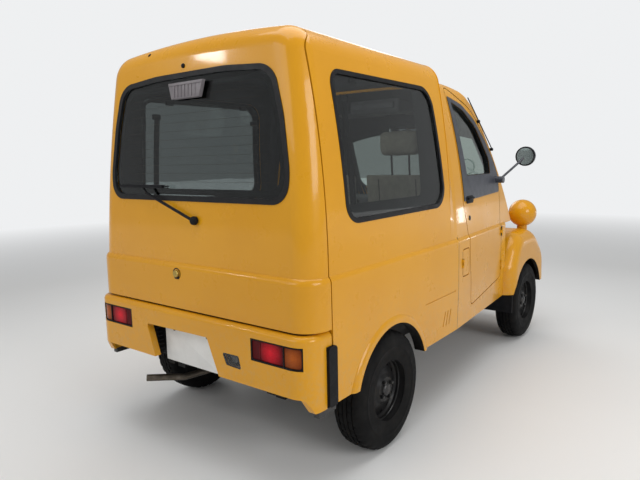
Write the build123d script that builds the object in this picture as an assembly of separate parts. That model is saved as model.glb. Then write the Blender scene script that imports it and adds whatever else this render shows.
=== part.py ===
from build123d import *
from math import cos, hypot, pi, radians, sin, sqrt, tan
import os

# Small single-box delivery truck with an enclosed cargo body, in millimetres
# +X points forward, +Y to the left, +Z up; the origin is on the floor under the middle
os.makedirs("parts", exist_ok=True)

# Overall layout
rear_overhang = 555
wheelbase = 1840
front_overhang = 395
height = 1718
length = rear_overhang + wheelbase + front_overhang
rear_end = -length / 2
rear_axle_x = rear_end + rear_overhang
front_axle_x = rear_axle_x + wheelbase
front_end = length / 2

# Nose and front fenders
nose_half = 388
nose_half_back = 398
hip_half = 552
hip_end = front_axle_x - 70
hip_round = 60
hip_drop = 14
nose_low = 548
nose_brow = 862
nose_round = 105
chin_half = 335
chin_low = 392
chin_depth = 110
nose_end = front_axle_x + 250
fender_top = 728
fender_inner = 400
fender_outer = 647
fender_round = 85
skin = 22

# Rear bumper and lamps
bumper_low = 400
bumper_corner_low = 345
bumper_top = 624
bumper_round = 22
bumper_wall = 30
guard_back_x = rear_axle_x - 450
guard_front_x = rear_axle_x - 399
guard_z = (349, 573)
lamp_z = (503, 588)
red_lamp_y = (366, 524)
amber_lamp_y = (526, 602)
plate_size = (330, 165)
plate_low = 368

# Ball headlamps, mirrors and spare wheel
ball_radius = 94
ball_centre = (front_axle_x + 170, 540, 833)
mirror_centre = (front_axle_x - 340, 707, 1227)
mirror_radius = 58
spare_z = 668

# Running gear
rail_inner = 290
rail_outer = 335
rail_z = (300, 370)
axle_radius = 34
kingpin_foot = (front_axle_x, 537, 165)
kingpin_head = (front_axle_x, 430, 650)

# Clearances
shut_gap = 6
seat_gap = 0.3
running_gap = 0.05
knuckle_gap = 1.5

# Wheels
tyre_radius = 254
tyre_width = 140
rim_radius = 140
track_half = 570
wheel_bore = 20
arch_radius = 287
swing_inner = 352

# Lower body: half-widths at heights
sill_z = 345
belt_z = 811
lower_half = 640
lower_foot = 634
ledge_top = belt_z + 15
ledge_round = 30

# Cargo box upper section: half-widths at the belt, mid height and shoulder
box_half_belt = 627
box_half_mid = 610
box_mid_z = 1186
box_half_top = 560
box_top_z = 1560
roof_corner_radius = 115
roof_crown = 28
roof_drop = 18
wall = 30

# Cargo box rear and front ends
hatch_seam_x = rear_axle_x - 417
roof_seam_x = hatch_seam_x + 52
tail_belt_x = rear_axle_x - 520
tail_lean = 3.8
tail_corner_radius = 85
lower_tail_x = rear_axle_x - 534
lower_corner_radius = 96
seam_x = rear_axle_x + 685
shoulder_x = seam_x - 80
shoulder_length = 45
cargo_floor_z = 600
floor_thickness = 34

# Cab section and side profile
cab_half_belt = 627
cab_half_mid = 600
cab_mid_z = 1130
cab_half_top = 520
cab_top_z = 1500
cab_roof_z = 1632
cab_taper = 66
cab_taper_length = 1030
cab_wall = 40
screen_foot_x = front_axle_x - 243
screen_foot_z = 965
screen_bow = 55
firewall_x = front_axle_x - 300
cab_floor_z = 395


def circle_through(a, b, c):
    """Centre and radius of the circle through three (y, z) points."""
    d = 2 * (a[0] * (b[1] - c[1]) + b[0] * (c[1] - a[1]) + c[0] * (a[1] - b[1]))
    qa, qb, qc = (p[0] ** 2 + p[1] ** 2 for p in (a, b, c))
    u = (qa * (b[1] - c[1]) + qb * (c[1] - a[1]) + qc * (a[1] - b[1])) / d
    v = (qa * (c[0] - b[0]) + qb * (a[0] - c[0]) + qc * (b[0] - a[0])) / d
    return u, v, hypot(a[0] - u, a[1] - v)


box_circle = circle_through((box_half_belt, belt_z), (box_half_mid, box_mid_z),
                            (box_half_top, box_top_z))
cab_circle = circle_through((cab_half_belt, belt_z), (cab_half_mid, cab_mid_z),
                            (cab_half_top, cab_top_z))


def half_width(circle, z):
    """Half-width of a tumblehome side at height z."""
    u, v, r = circle
    return u + sqrt(r ** 2 - (z - v) ** 2)


def outline(rows, plane=Plane.XZ):
    """Closed face from rows of (a, b, corner radius) on a plane."""
    points = [(a, b) for a, b, _ in rows]
    wire = FilletPolyline(*points, radius=[r for _, _, r in rows], close=True)
    return plane * make_face(wire.edges())


def side_prism(rows, y_in, y_out, side, lean=0.0, grow=0.0, y_ref=600):
    """Prism through one side wall; the outline is true at |y| = y_ref and leans back outboard."""
    face = outline(rows)
    if grow:
        face = offset(face, grow, kind=Kind.INTERSECTION)
    run = y_out - y_in
    start = Pos(-lean * (y_in - y_ref), side * y_in, 0) * face
    return extrude(start, amount=run * sqrt(1 + lean ** 2), dir=(-lean, side, 0))


def block(x, y, z):
    """Box between pairs of limits."""
    size = (x[1] - x[0], y[1] - y[0], z[1] - z[0])
    return Pos((x[0] + x[1]) / 2, (y[0] + y[1]) / 2, (z[0] + z[1]) / 2) * Box(*size)


def across(face, half):
    """Extrude a face on the XZ plane over both sides of the centre line."""
    return Pos(0, half, 0) * extrude(face, amount=2 * half)


def rod(start, end, radius):
    """Round bar between two points."""
    a = Vector(start)
    run = Vector(end) - a
    return Plane(origin=a, z_dir=run) * Cylinder(radius, run.length,
                                                 align=(Align.CENTER, Align.CENTER, Align.MIN))


# Body forms

def tumblehome_face(x, circle, top_z, corner, crown, inset, shift=0.0, low=300):
    """Section across the body: a tumblehome side each way and a crowned roof."""
    top = top_z - inset
    edge_z = top - crown

    def half(z):
        return half_width(circle, z) - inset - shift

    foot = (half(belt_z), belt_z)
    mid = (half((belt_z + edge_z) / 2), (belt_z + edge_z) / 2)
    head = (half(edge_z), edge_z)
    edges = [Line((foot[0], low), foot),
             ThreePointArc(foot, mid, head),
             ThreePointArc(head, (0, top), (-head[0], head[1])),
             ThreePointArc((-head[0], head[1]), (-mid[0], mid[1]), (-foot[0], foot[1])),
             Line((-foot[0], foot[1]), (-foot[0], low)),
             Line((-foot[0], low), (foot[0], low))]
    face = make_face(edges)
    face = fillet(face.vertices().sort_by(Axis.Y)[-2:], corner - inset)
    return Plane.YZ.offset(x) * face


def box_form(inset=0.0, low=300):
    """Upper cargo box: section pushed forward, leaning tail, rounded tail corners, front shoulder."""
    start_x = rear_end - 60
    run = shoulder_x - start_x
    lift = roof_drop * (hatch_seam_x + 80 - start_x) / run
    rear = tumblehome_face(start_x, box_circle, height + lift, roof_corner_radius,
                           roof_crown, inset, low=low)
    main = extrude(rear, amount=hypot(run, roof_drop), dir=(run, 0, -roof_drop))
    lean = tan(radians(tail_lean))
    tail_x = tail_belt_x + inset
    cutter = [(tail_x + lean * (low - 200 - belt_z), low - 200, 0),
              (tail_x + lean * (height + 100 - belt_z), height + 100, 0),
              (start_x - 400, height + 100, 0), (start_x - 400, low - 200, 0)]
    main -= across(outline(cutter), 900)
    tail = main.faces().sort_by(Axis.X)[0]
    ring = [e for e in tail.edges() if e.center().Z > low + 1]
    main = fillet(ring, tail_corner_radius - inset)
    front_lip = tumblehome_face(shoulder_x, box_circle, height + lift - roof_drop,
                                roof_corner_radius, roof_crown, inset, low=low)
    cab_lip = tumblehome_face(shoulder_x + shoulder_length, cab_circle, cab_roof_z + 6, 90, 10,
                              inset, low=low)
    shoulder = loft([front_lip, cab_lip], ruled=True)
    collar = extrude(cab_lip, amount=seam_x - shoulder_x - shoulder_length, dir=(1, 0, 0))
    return main + shoulder + collar


def lower_section(x, shift=0.0):
    """Slightly barrelled section across the lower body, up to the top of the belt ledge."""
    half = [(lower_foot - shift, sill_z, 0), (lower_half - shift, 560, 900),
            (lower_half - 3 - shift, ledge_top, 0)]
    return outline(half + [(-y, z, r) for y, z, r in reversed(half)], Plane.YZ.offset(x))


def lower_box(front_x):
    """Lower cargo body with upright tail, rounded corners and a soft ledge along its rim."""
    form = extrude(lower_section(lower_tail_x), amount=front_x - lower_tail_x)
    posts = [e for e in form.faces().sort_by(Axis.X)[0].edges()
             if sill_z < e.center().Z - 1 and e.center().Z < ledge_top - 1]
    form = fillet(posts, lower_corner_radius)
    rim = [e for e in form.faces().sort_by(Axis.Z)[-1].edges() if e.center().X < front_x - 1]
    return fillet(rim, ledge_round)


def cab_sections(inset, low):
    """Cab side walls, tapering forward, as a loft of two sections."""
    ends = [(seam_x, 0.0), (seam_x + cab_taper_length, cab_taper)]
    faces = [tumblehome_face(x, cab_circle, cab_roof_z, 90, 10, inset, shift, low)
             for x, shift in ends]
    return loft(faces, ruled=True)


def cab_profile(inset, low):
    """Side profile of the cab from the box seam to the windscreen foot."""
    back_x = seam_x - screen_bow - inset - 1
    rows = [(back_x, low, 0), (firewall_x, low, 0), (firewall_x, 548, 0),
            (screen_foot_x + 40, 548, 0), (screen_foot_x + 40, screen_foot_z - 30, 0),
            (screen_foot_x, screen_foot_z, 0), (front_axle_x - 585, 1448, 260),
            (front_axle_x - 800, 1583, 300), (back_x, cab_roof_z + 20, 0)]
    face = outline(rows)
    if inset:
        face = offset(face, -inset, kind=Kind.INTERSECTION)
    return Pos(screen_bow, 0, 0) * face


def bow_cutter(inset):
    """Large leaning cylinder that bows the windscreen across the car."""
    half = 560
    radius = (half ** 2 + screen_bow ** 2) / (2 * screen_bow)
    run = Vector(front_axle_x - 585 - screen_foot_x, 0, 1448 - screen_foot_z).normalized()
    normal = Vector(run.Z, 0, -run.X)
    face_point = Vector(screen_foot_x + screen_bow, 0, screen_foot_z)
    centre = face_point - normal * radius
    plane = Plane(origin=centre, z_dir=run)
    return plane * Cylinder(radius - inset, 6000)


def cab_form(inset=0.0, low=300):
    """Closed cab form, from which the panels are cut."""
    walls = cab_sections(inset, low)
    profile = across(cab_profile(inset, low), 900)
    back = block((seam_x, 3000), (-900, 900), (0, 2000))
    return walls & profile & bow_cutter(inset) & back


def lower_cab():
    """Lower cab sides below the belt ledge, tapering forward like the upper cab."""
    form = loft([lower_section(seam_x), lower_section(seam_x + cab_taper_length, cab_taper)], ruled=True)
    rim = [e for e in form.faces().sort_by(Axis.Z)[-1].edges() if abs(e.center().Y) > 1]
    return fillet(rim, ledge_round)


def rounded_wedge(half_back, front_x, half_front, radius, drop, inset):
    """Tapering block from the windscreen foot forward, with rounded upper and front edges."""
    back = screen_foot_x - 110
    top = screen_foot_z + 8 - drop
    slope = (top + drop - nose_brow) / (nose_end - back)
    plan_rows = [(back, half_back, 0), (front_x, half_front, 0)]
    plan_rows += [(x, -y, r) for x, y, r in reversed(plan_rows)]
    side_rows = [(back, nose_low, 0), (front_x, nose_low, 0),
                 (front_x, top - slope * (front_x - back), 0), (back, top, 0)]
    plan = outline(plan_rows, Plane.XY)
    profile = outline(side_rows)
    if inset:
        plan = offset(plan, -inset, kind=Kind.INTERSECTION)
        profile = offset(profile, -inset, kind=Kind.INTERSECTION)
    wedge = extrude(plan, amount=2000) & across(profile, 900)
    crest = [e for e in wedge.edges() if e.center().Z > nose_low + inset + 5
             and e.center().X > back + inset + 5]
    return fillet(crest, radius - inset)


def nose_form(inset=0.0):
    """Nose between the front fenders, with wider hips at the windscreen foot."""
    nose = rounded_wedge(nose_half_back, nose_end, nose_half, nose_round, 0, inset)
    hips = rounded_wedge(hip_half, hip_end, nose_half, hip_round, hip_drop, inset)
    return nose + hips


def fender_form(side, inset=0.0):
    """Rounded pontoon over one front wheel."""
    rows = [(front_axle_x - 318, 330, 0), (front_axle_x - 318, 520, 120),
            (front_axle_x - 205, fender_top, 190), (front_axle_x + 150, fender_top + 6, 240),
            (front_axle_x + 372, 560, 200), (front_axle_x + 385, 330, 0)]
    face = outline(rows)
    if inset:
        face = offset(face, -inset, kind=Kind.INTERSECTION)
    depth = fender_outer - inset - fender_inner
    start = Pos(0, side * fender_inner, 0) * face
    form = extrude(start, amount=depth, dir=(0, side, 0))
    outer = [e for e in form.edges()
             if abs(abs(e.center().Y) - fender_outer + inset) < 1 and e.center().Z > sill_z]
    return fillet(outer, fender_round - inset)


# Side openings: rows of x, z and corner radius, true at |y| = 600

door_rows = [(seam_x + 215, 429, 25), (front_axle_x - 402, 486, 60), (front_axle_x - 398, 1120, 60),
             (front_axle_x - 520, 1300, 200), (front_axle_x - 715, 1496, 260),
             (seam_x + 93, 1598, 30), (seam_x + 118, 995, 0), (seam_x + 178, 824, 0)]
door_glass_rows = [(seam_x + 200, 1130, 10), (front_axle_x - 548, 1130, 15),
                   (front_axle_x - 546, 1212, 60), (front_axle_x - 700, 1400, 200),
                   (front_axle_x - 850, 1482, 200), (seam_x + 141, 1520, 12)]
door_frame_rows = [(seam_x + 130, 998, 6), (front_axle_x - 412, 1016, 15),
                   (front_axle_x - 410, 1112, 25), (front_axle_x - 462, 1196, 120),
                   (front_axle_x - 566, 1324, 200), (front_axle_x - 695, 1440, 220),
                   (front_axle_x - 860, 1516, 220), (seam_x + 104, 1546, 8)]
side_glass_rows = [(rear_axle_x - 273, 1008, 64), (rear_axle_x + 538, 1012, 80),
                   (rear_axle_x + 478, 1536, 88), (rear_axle_x - 298, 1536, 44)]
side_seal_rows = [(rear_axle_x - 291, 989, 82), (rear_axle_x + 557, 993, 98),
                  (rear_axle_x + 495, 1553, 106), (rear_axle_x - 315, 1553, 62)]
fuel_lid_rows = [(seam_x + 63, 613, 14), (seam_x + 157, 613, 14), (seam_x + 157, 750, 14),
                 (seam_x + 63, 750, 14)]

lid_axis = (seam_x + 60.2, 640)

# Hatch glass: rows of half-width, z and corner radius
hatch_glass_rows = [(496, 1094, 58), (508, 1184, 240), (476, 1378, 380), (430, 1543, 84), (198, 1561, 800)]
hatch_seal_rows = [(516, 1073, 76), (529, 1182, 270), (497, 1385, 400), (447, 1562, 102), (205, 1581, 800)]

door_lean = 0.25
door_inner = 430
door_axis = (front_axle_x - 396, 595)
door_hinge = {"length": 54, "knuckle": 6, "pin": 3, "reach": 14, "depth": 9, "moving_depth": 9}


def mirrored_outline(rows, plane):
    """Symmetric closed face from right-hand rows of half-width, height and corner radius."""
    return outline(rows + [(-a, b, r) for a, b, r in reversed(rows)], plane)


def wheel_clearance(x, radius, inner, side):
    """Cylinder that clears one wheel, from its inner side outward."""
    start = Pos(x, side * inner, tyre_radius) * Rot(-90 * side, 0, 0)
    return start * Cylinder(radius, 900, align=(Align.CENTER, Align.CENTER, Align.MIN))


def hinge(place, length, knuckle, pin, reach, depth, moving_depth):
    """Fixed and moving halves of a hinge; its axis is local Z, the moving leaf points to local -X."""
    third = length / 3
    middle = third / 2
    fixed = Cylinder(pin, length - 1)
    for z in (-third, third):
        fixed += Pos(0, 0, z) * Cylinder(knuckle, third)
        fixed += block((0, reach), (0, depth), (z - middle, z + middle))
    moving = Cylinder(knuckle, third - 2 * seat_gap)
    moving += block((-reach, 0), (0, moving_depth), (-middle + seat_gap, middle - seat_gap))
    moving -= Cylinder(pin + running_gap, length)
    return place * fixed, place * moving


def knuckle_notch(place, sizes, half):
    """Clearance around the knuckles of one hinge half."""
    third = sizes["length"] / 3
    spots = [0] if half == "moving" else [-third, third]
    tools = [Pos(0, 0, z) * Cylinder(sizes["knuckle"] + knuckle_gap, third + 2 * knuckle_gap) for z in spots]
    return [place * tool for tool in tools]


print("body forms")
above_belt = block((rear_end - 100, 3000), (-900, 900), (belt_z - 1, 2000))
box_outer = (box_form() & above_belt) + lower_box(seam_x)
box_inner = box_form(wall)
cab_upper = cab_form() & above_belt
cab_lower = lower_cab() & block((seam_x, firewall_x), (-900, 900), (0, 2000))
cab_outer = cab_upper + cab_lower
cab_inner = cab_form(cab_wall)
nose_outer = nose_form()
parts = {}


def skin_layer(form, depth, thickness, region):
    """A curved sheet under the outer surface, cut to a region."""
    return (form(depth) & region) - form(depth + thickness)


print("cargo body")
body_back = hatch_seam_x + shut_gap / 2
hatch_low = 632
roof_half = 470


def tail_zone(shift, low):
    """Everything behind the hatch seam, which steps forward where it crosses the roof."""
    back = rear_end - 80
    rows = [(back, low, 0), (hatch_seam_x + shift, low, 0), (hatch_seam_x + shift, 1622, 60),
            (roof_seam_x + shift, 1676, 60), (roof_seam_x + shift, 2000, 0), (back, 2000, 0)]
    return across(outline(rows), 900)


box_shell = box_outer - box_inner
body_shell = box_shell - tail_zone(shut_gap / 2, 0)
roof_zone = block((rear_end, seam_x), (-roof_half, roof_half), (1200, 2000))
roof = body_shell & roof_zone

# Service cover on the right: a groove along its top and slanted vents, as foot x positions
groove_z = 558
vent_feet = (rear_axle_x + 512, rear_axle_x + 544, rear_axle_x + 577)
vent_low = 399
vent_rise = 76
vent_run = 21
service_slots = [block((rear_axle_x + 314, rear_axle_x + 650), (-645, -637), (groove_z - 3, groove_z + 3))]
for x in vent_feet:
    place = Pos(x + vent_run / 2, -640, vent_low + vent_rise / 2)
    slot = outline([(-vent_run / 2 - 4, -vent_rise / 2, 3.5), (-vent_run / 2 + 4, -vent_rise / 2, 3.5),
                    (vent_run / 2 + 4, vent_rise / 2, 3.5), (vent_run / 2 - 4, vent_rise / 2, 3.5)])
    service_slots.append(place * extrude(slot, amount=15, both=True))

for name, side in (("left", 1), ("right", -1)):
    half_zone = block((rear_end, seam_x), sorted((side * 300, side * 900)), (0, 2000))
    panel = (body_shell & half_zone) - roof_zone
    arch_x = rear_axle_x + 18
    centre = Pos(arch_x, side * 600, tyre_radius) * Rot(-90 * side, 0, 0)
    flare = centre * Cylinder(arch_radius + 44, 47.5, align=(Align.CENTER, Align.CENTER, Align.MIN))
    rim_edges = [e for e in flare.edges() if abs(abs(e.center().Y) - 647.5) < 0.5]
    flare = fillet(rim_edges, 30)
    flare &= block((rear_end, seam_x), (-900, 900), (sill_z, 2000))
    panel += flare
    panel -= wheel_clearance(arch_x, arch_radius, 400, side)
    panel -= side_prism(side_seal_rows, 480, 700, side)
    if side < 0:
        panel -= service_slots
    parts["cargo_side_" + name] = panel

print("hatch")
tail_plane = Plane(origin=(tail_belt_x, 0, 0), x_dir=(0, -1, 0), z_dir=(-1, 0, 0))
seal_hole = Pos(300, 0, 0) * extrude(mirrored_outline(hatch_seal_rows, tail_plane), amount=600)
glass_hole = Pos(300, 0, 0) * extrude(mirrored_outline(hatch_glass_rows, tail_plane), amount=600)
tail_half = block((rear_end - 50, hatch_seam_x), (-900, 900), (900, 1650))
hatch = (box_shell & tail_zone(-shut_gap / 2, hatch_low)) - (seal_hole & tail_half)
hatch_axis = (roof_seam_x - shut_gap / 2, height - 6.5)
hatch_hinge_y = 200
hatch_hinge = {"length": 72, "knuckle": 5, "pin": 2.5, "reach": 28, "depth": 8, "moving_depth": 16}
roof_channel = 13.5
roof_channel_half = 330
roof -= rod((hatch_axis[0], -roof_channel_half, hatch_axis[1]),
            (hatch_axis[0], roof_channel_half, hatch_axis[1]), roof_channel)
for y in (-hatch_hinge_y, hatch_hinge_y):
    place = Pos(hatch_axis[0], y, hatch_axis[1]) * Rot(-90, 0, 0)
    fixed, moving = hinge(place, **hatch_hinge)
    for notch in knuckle_notch(place, hatch_hinge, "moving"):
        roof -= notch
    for notch in knuckle_notch(place, hatch_hinge, "fixed"):
        hatch -= notch
    hatch -= place * Cylinder(hatch_hinge["pin"] + running_gap, hatch_hinge["length"])
    roof += fixed
    hatch += moving
parts["cargo_roof"] = roof
parts["hatch_panel"] = hatch
parts["hatch_glass"] = skin_layer(box_form, 6, 5, glass_hole & tail_half)
parts["hatch_seal"] = skin_layer(box_form, -3, 16, seal_hole & tail_half) - (glass_hole & tail_half)

side_glass = []
side_seals = []
for side in (1, -1):
    seal = side_prism(side_seal_rows, 480, 700, side)
    glass = side_prism(side_glass_rows, 480, 700, side)
    side_glass.append(skin_layer(box_form, 6, 5, glass))
    side_seals.append(skin_layer(box_form, -2, 16, seal) - glass)
parts["cargo_glass"] = side_glass
parts["window_seals"] = side_seals

print("cab")
nose_zone = block((firewall_x + 25, 3000), (-900, 900), (0, 2000))
chin = block((nose_end - chin_depth, nose_end - 12), (-chin_half, chin_half), (chin_low, nose_low + 60))
chin = fillet(chin.edges().filter_by(Axis.Z).group_by(Axis.X)[-1], 60)
for z in range(chin_low + 22, nose_low - 30, 34):
    chin -= block((nose_end - 40, nose_end), (-chin_half + 70, chin_half - 70), (z, z + 16))
cab_body = (cab_outer + nose_outer) - cab_inner - (nose_form(25) & nose_zone)
cab_body += chin & nose_zone & (block((0, 3000), (-900, 900), (0, nose_low + 25)))
cab_body &= block((seam_x, 3000), (-900, 900), (sill_z, 2000))
screen_rows = [(505, screen_foot_z + 60, 60), (415, 1500, 60)]
screen_plane = Plane(origin=(screen_foot_x - 300, 0, 0), x_dir=(0, 1, 0), z_dir=(1, 0, 0))
screen_hole = extrude(mirrored_outline(screen_rows, screen_plane), amount=600)
screen_zone = screen_hole & block((0, 2000), (-900, 900), (900, 2000))
cab_body -= screen_zone
parts["windscreen"] = skin_layer(cab_form, 6, 5, screen_zone)
door_skin = cab_outer - cab_sections(cab_wall, 200)
door_pocket = cab_sections(cab_wall + 12, 200)
for name, side in (("left", 1), ("right", -1)):
    cab_body -= side_prism(door_rows, door_inner, 760, side, door_lean, shut_gap) - door_pocket
    cab_body -= wheel_clearance(front_axle_x, arch_radius, swing_inner, side)
    door_zone = side_prism(door_rows, door_inner, 760, side, door_lean)
    glass_zone = side_prism(door_glass_rows, 400, 760, side, door_lean)
    frame_zone = side_prism(door_frame_rows, 400, 760, side, door_lean)
    panel = (door_skin & door_zone) - glass_zone
    for z in (560, 770):
        place = Pos(door_axis[0], side * door_axis[1], z)
        if side > 0:
            place = place * Rot(180, 0, 0)
        fixed, moving = hinge(place, **door_hinge)
        for notch in knuckle_notch(place, door_hinge, "fixed"):
            panel -= notch
        for notch in knuckle_notch(place, door_hinge, "moving"):
            cab_body -= notch
        panel += moving
        cab_body += fixed
    parts["door_" + name + "_panel"] = panel
    parts["door_" + name + "_glass"] = skin_layer(cab_form, 14, 5, glass_zone)
    trim = skin_layer(cab_form, -4, 3.7, frame_zone) - glass_zone
    stalk_foot = (front_axle_x - 440, side * 586, 1090)
    head = (mirror_centre[0], side * mirror_centre[1], mirror_centre[2])
    stalk = rod(stalk_foot, head, 7)
    disc = Pos(*head) * Rot(0, 90, 0) * Cylinder(mirror_radius, 26)
    disc = fillet(disc.edges().group_by(Axis.X)[-1], 11)
    foot = Pos(*stalk_foot) * Rot(90, 0, 0) * Cylinder(20, 50)
    mirror_arm = (stalk + foot - cab_form(-4)) + disc
    parts["door_" + name + "_trim"] = [trim + mirror_arm]

lid_hole = side_prism(fuel_lid_rows, 560, 760, -1, 0, 5.5)
lid_zone = side_prism(fuel_lid_rows, 560, 760, -1)
lid = (cab_outer & lid_zone) - block((-900, 900), (-622, 0), (0, 2000))
cab_body -= lid_hole & block((-900, 900), (-900, -612), (0, 2000))
lid_place = Pos(lid_axis[0], -lid_axis[1], 681) * Rot(0, 0, 180) * Rot(180, 0, 0)
fixed, moving = hinge(lid_place, length=45, knuckle=3.4, pin=1.6, reach=9, depth=7, moving_depth=7)
parts["fuel_lid"] = lid + moving
parts["cab_body"] = cab_body + fixed

print("front end")
pin_radius = 9
boss_half = 12


def kingpin(side):
    """Lower and upper ends of one steering axis and its direction."""
    foot = Vector(kingpin_foot[0], side * kingpin_foot[1], kingpin_foot[2])
    head = Vector(kingpin_head[0], side * kingpin_head[1], kingpin_head[2])
    return foot, head, (head - foot).normalized()


fenders = []
for side in (1, -1):
    fender = fender_form(side) - fender_form(side, skin)
    foot, head, run = kingpin(side)
    tower = block((head.X - 45, head.X + 45), sorted((head.Y - 40, head.Y + 40)),
                  (head.Z - 30, fender_top - skin / 2))
    tower -= Plane(origin=head, z_dir=run) * Pos(0, 0, -100) * Box(400, 400, 200)
    tower -= rod(head - run * 10, head + run * 22, pin_radius + running_gap)
    fender = fender - wheel_clearance(front_axle_x, arch_radius, 300, side)
    fender -= block((front_axle_x - 400, front_axle_x + 500), sorted((side * 300, side * 700)), (0, 345))
    fenders.append(fender + tower)
nose_gap = nose_form(-seat_gap)
parts["front_fenders"] = [f - nose_gap - cab_outer for f in fenders]
valance_x = front_axle_x + 262
valance_half = fender_inner - seat_gap
valance = block((valance_x, valance_x + 110), (-valance_half, valance_half), (252, 398))
valance = fillet(valance.edges().filter_by(Axis.Y), 22)
plate_y, plate_z = plate_size[0] / 2, 322
valance -= block((valance_x - 1, valance_x + 88), (-370, 370), (274, 376))
for side in (1, -1):
    valance += block((front_axle_x + 250, valance_x + 95), sorted((side * rail_inner, side * rail_outer)),
                     (310, 350))
parts["front_bumper"] = valance

pods = []
lenses = []
ball_x, ball_y, ball_z = ball_centre
for side in (1, -1):
    ball = Pos(ball_x, side * ball_y, ball_z) * Sphere(ball_radius)
    ball -= block((ball_x + 66, ball_x + 200), (-900, 900), (600, 1000))
    neck = rod((ball_x, side * ball_y, ball_z - 60), (ball_x, side * ball_y, 690), 34)
    neck -= fender_form(side, -seat_gap)
    pod = ball + neck.solids().sort_by(Axis.Z)[-1]
    pods.append(pod - rod((ball_x + 46, side * ball_y, ball_z), (ball_x + 90, side * ball_y, ball_z), 62))
    lenses.append(rod((ball_x + 46, side * ball_y, ball_z), (ball_x + 67, side * ball_y, ball_z),
                      62 - seat_gap))
parts["headlamp_pods"] = pods

print("rear bumper")
bumper_front_x = hatch_seam_x - shut_gap / 2
bumper_half = 637
bumper_corner_radius = 78
plan = [(bumper_front_x, bumper_half, 0), (rear_end, bumper_half - 8, bumper_corner_radius),
        (rear_end, 8 - bumper_half, bumper_corner_radius), (bumper_front_x, -bumper_half, 0)]
bumper_solid = extrude(outline(plan, Plane.XY.offset(bumper_corner_low)),
                       amount=bumper_top - bumper_corner_low)
hollow = [(bumper_front_x + 1, bumper_half - bumper_wall, 0),
          (rear_end + bumper_wall, bumper_half - 8 - bumper_wall, bumper_corner_radius - bumper_wall),
          (rear_end + bumper_wall, 8 - bumper_half + bumper_wall, bumper_corner_radius - bumper_wall),
          (bumper_front_x + 1, bumper_wall - bumper_half, 0)]
bumper_hollow = extrude(outline(hollow, Plane.XY.offset(bumper_corner_low - 1)), amount=500)
crest = [e for e in bumper_solid.faces().sort_by(Axis.Z)[-1].edges() if e.center().X < bumper_front_x - 1]
bumper = fillet(crest, bumper_round) - bumper_hollow
apron_half = bumper_half - 52
apron = [(-apron_half - 13, bumper_corner_low - 10, 0), (-apron_half, bumper_low, 12),
         (apron_half, bumper_low, 12), (apron_half + 13, bumper_corner_low - 10, 0)]
bumper -= extrude(outline(apron, Plane.YZ.offset(rear_end - 10)), amount=300)
sweep_x = rear_end + 15
rear_sweep = [(rear_end - 10, bumper_corner_low - 10, 0), (rear_end - 10, bumper_low, 0),
              (sweep_x, bumper_low, 18), (sweep_x + 38, bumper_corner_low - 10, 0)]
bumper -= across(outline(rear_sweep), 900)
bumper -= block((guard_back_x - seat_gap, seam_x), (-900, 900), (0, guard_z[1] + seat_gap))
notch_rows = [(-259, 541, 10), (127, 546, 10), (196, 380, 0), (-205, 380, 0)]
tail_face = Plane(origin=(rear_end - 40, 0, 0), x_dir=(0, -1, 0), z_dir=(-1, 0, 0))
notch = Pos(200, 0, 0) * extrude(outline(notch_rows, tail_face), amount=200)
reverse_rows = [(212, 503, 8), (301, 505, 8), (314, 453, 8), (234, 457, 8)]
reverse_hole = Pos(200, 0, 0) * extrude(outline(reverse_rows, tail_face), amount=200)
bumper -= notch
red = []
amber = []
for side in (1, -1):
    for store, limits in ((red, red_lamp_y), (amber, amber_lamp_y)):
        zone = block((rear_end - 20, rear_end + 60), sorted((side * limits[0], side * limits[1])), lamp_z)
        lamp = (bumper_solid & zone) - bumper_hollow
        store.append(lamp)
        bumper -= zone
reverse_lamp = (bumper_solid & reverse_hole) - bumper_hollow
bumper -= reverse_hole
parts["rear_bumper"] = bumper
parts["red_lamps"] = red
parts["amber_lamps"] = amber
parts["clear_lenses"] = lenses + [reverse_lamp]
backing_x = rear_end + 74
backing = block((rear_end + 30 + seat_gap, backing_x + 6), (-235, 285), (385, 590))
backing -= block((rear_end, backing_x), (-225, 275), (384, 580))
rear_plate = block((backing_x - 4, backing_x), (56 - plate_size[0] / 2, 56 + plate_size[0] / 2),
                   (plate_low, plate_low + plate_size[1]))
front_plate = block((valance_x + 110, valance_x + 113), (-plate_y, plate_y), (plate_z - 82, plate_z + 82))
parts["number_plates"] = [rear_plate, front_plate]
guards = []
for side in (1, -1):
    infill = block((guard_back_x, body_back - seat_gap), sorted((side * 607, side * 641)), guard_z)
    lip_rows = [(guard_back_x, guard_z[0], 12), (guard_front_x, guard_z[0], 12),
                (guard_front_x, guard_z[1], 16), (guard_back_x, guard_z[1], 16)]
    lip = Pos(0, side * 640.4, 0) * extrude(outline(lip_rows), amount=-7.2 * side)
    guards.append(infill + lip)
    guards.append(block((firewall_x - 8, firewall_x), sorted((side * 440, side * 640)),
                        (232, sill_z - seat_gap)))
parts["rear_trim"] = guards + [backing]

print("floor and chassis")
floor_half = box_half_belt - wall - 1
cargo_floor = block((hatch_seam_x + 20, seam_x), (-floor_half, floor_half),
                    (cargo_floor_z - floor_thickness, cargo_floor_z))
step = block((seam_x - 30, seam_x), (-floor_half, floor_half), (rail_z[1], cargo_floor_z))
tail_sill = block((hatch_seam_x + 20, hatch_seam_x + 55), (-floor_half, floor_half), (420, cargo_floor_z))
cab_room = cab_form(cab_wall + seat_gap)
cab_floor = block((seam_x, firewall_x), (-900, 900), (rail_z[1], cab_floor_z)) & cab_room
toe_board = block((firewall_x - 20, firewall_x), (-900, 900), (rail_z[1], nose_low + 25)) & cab_room
toe_board += block((firewall_x, firewall_x + 14), (-fender_inner + 1, fender_inner - 1),
                   (nose_low + 1, nose_low + 25))
parts["floor_pan"] = cargo_floor + step + tail_sill + cab_floor + toe_board

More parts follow.
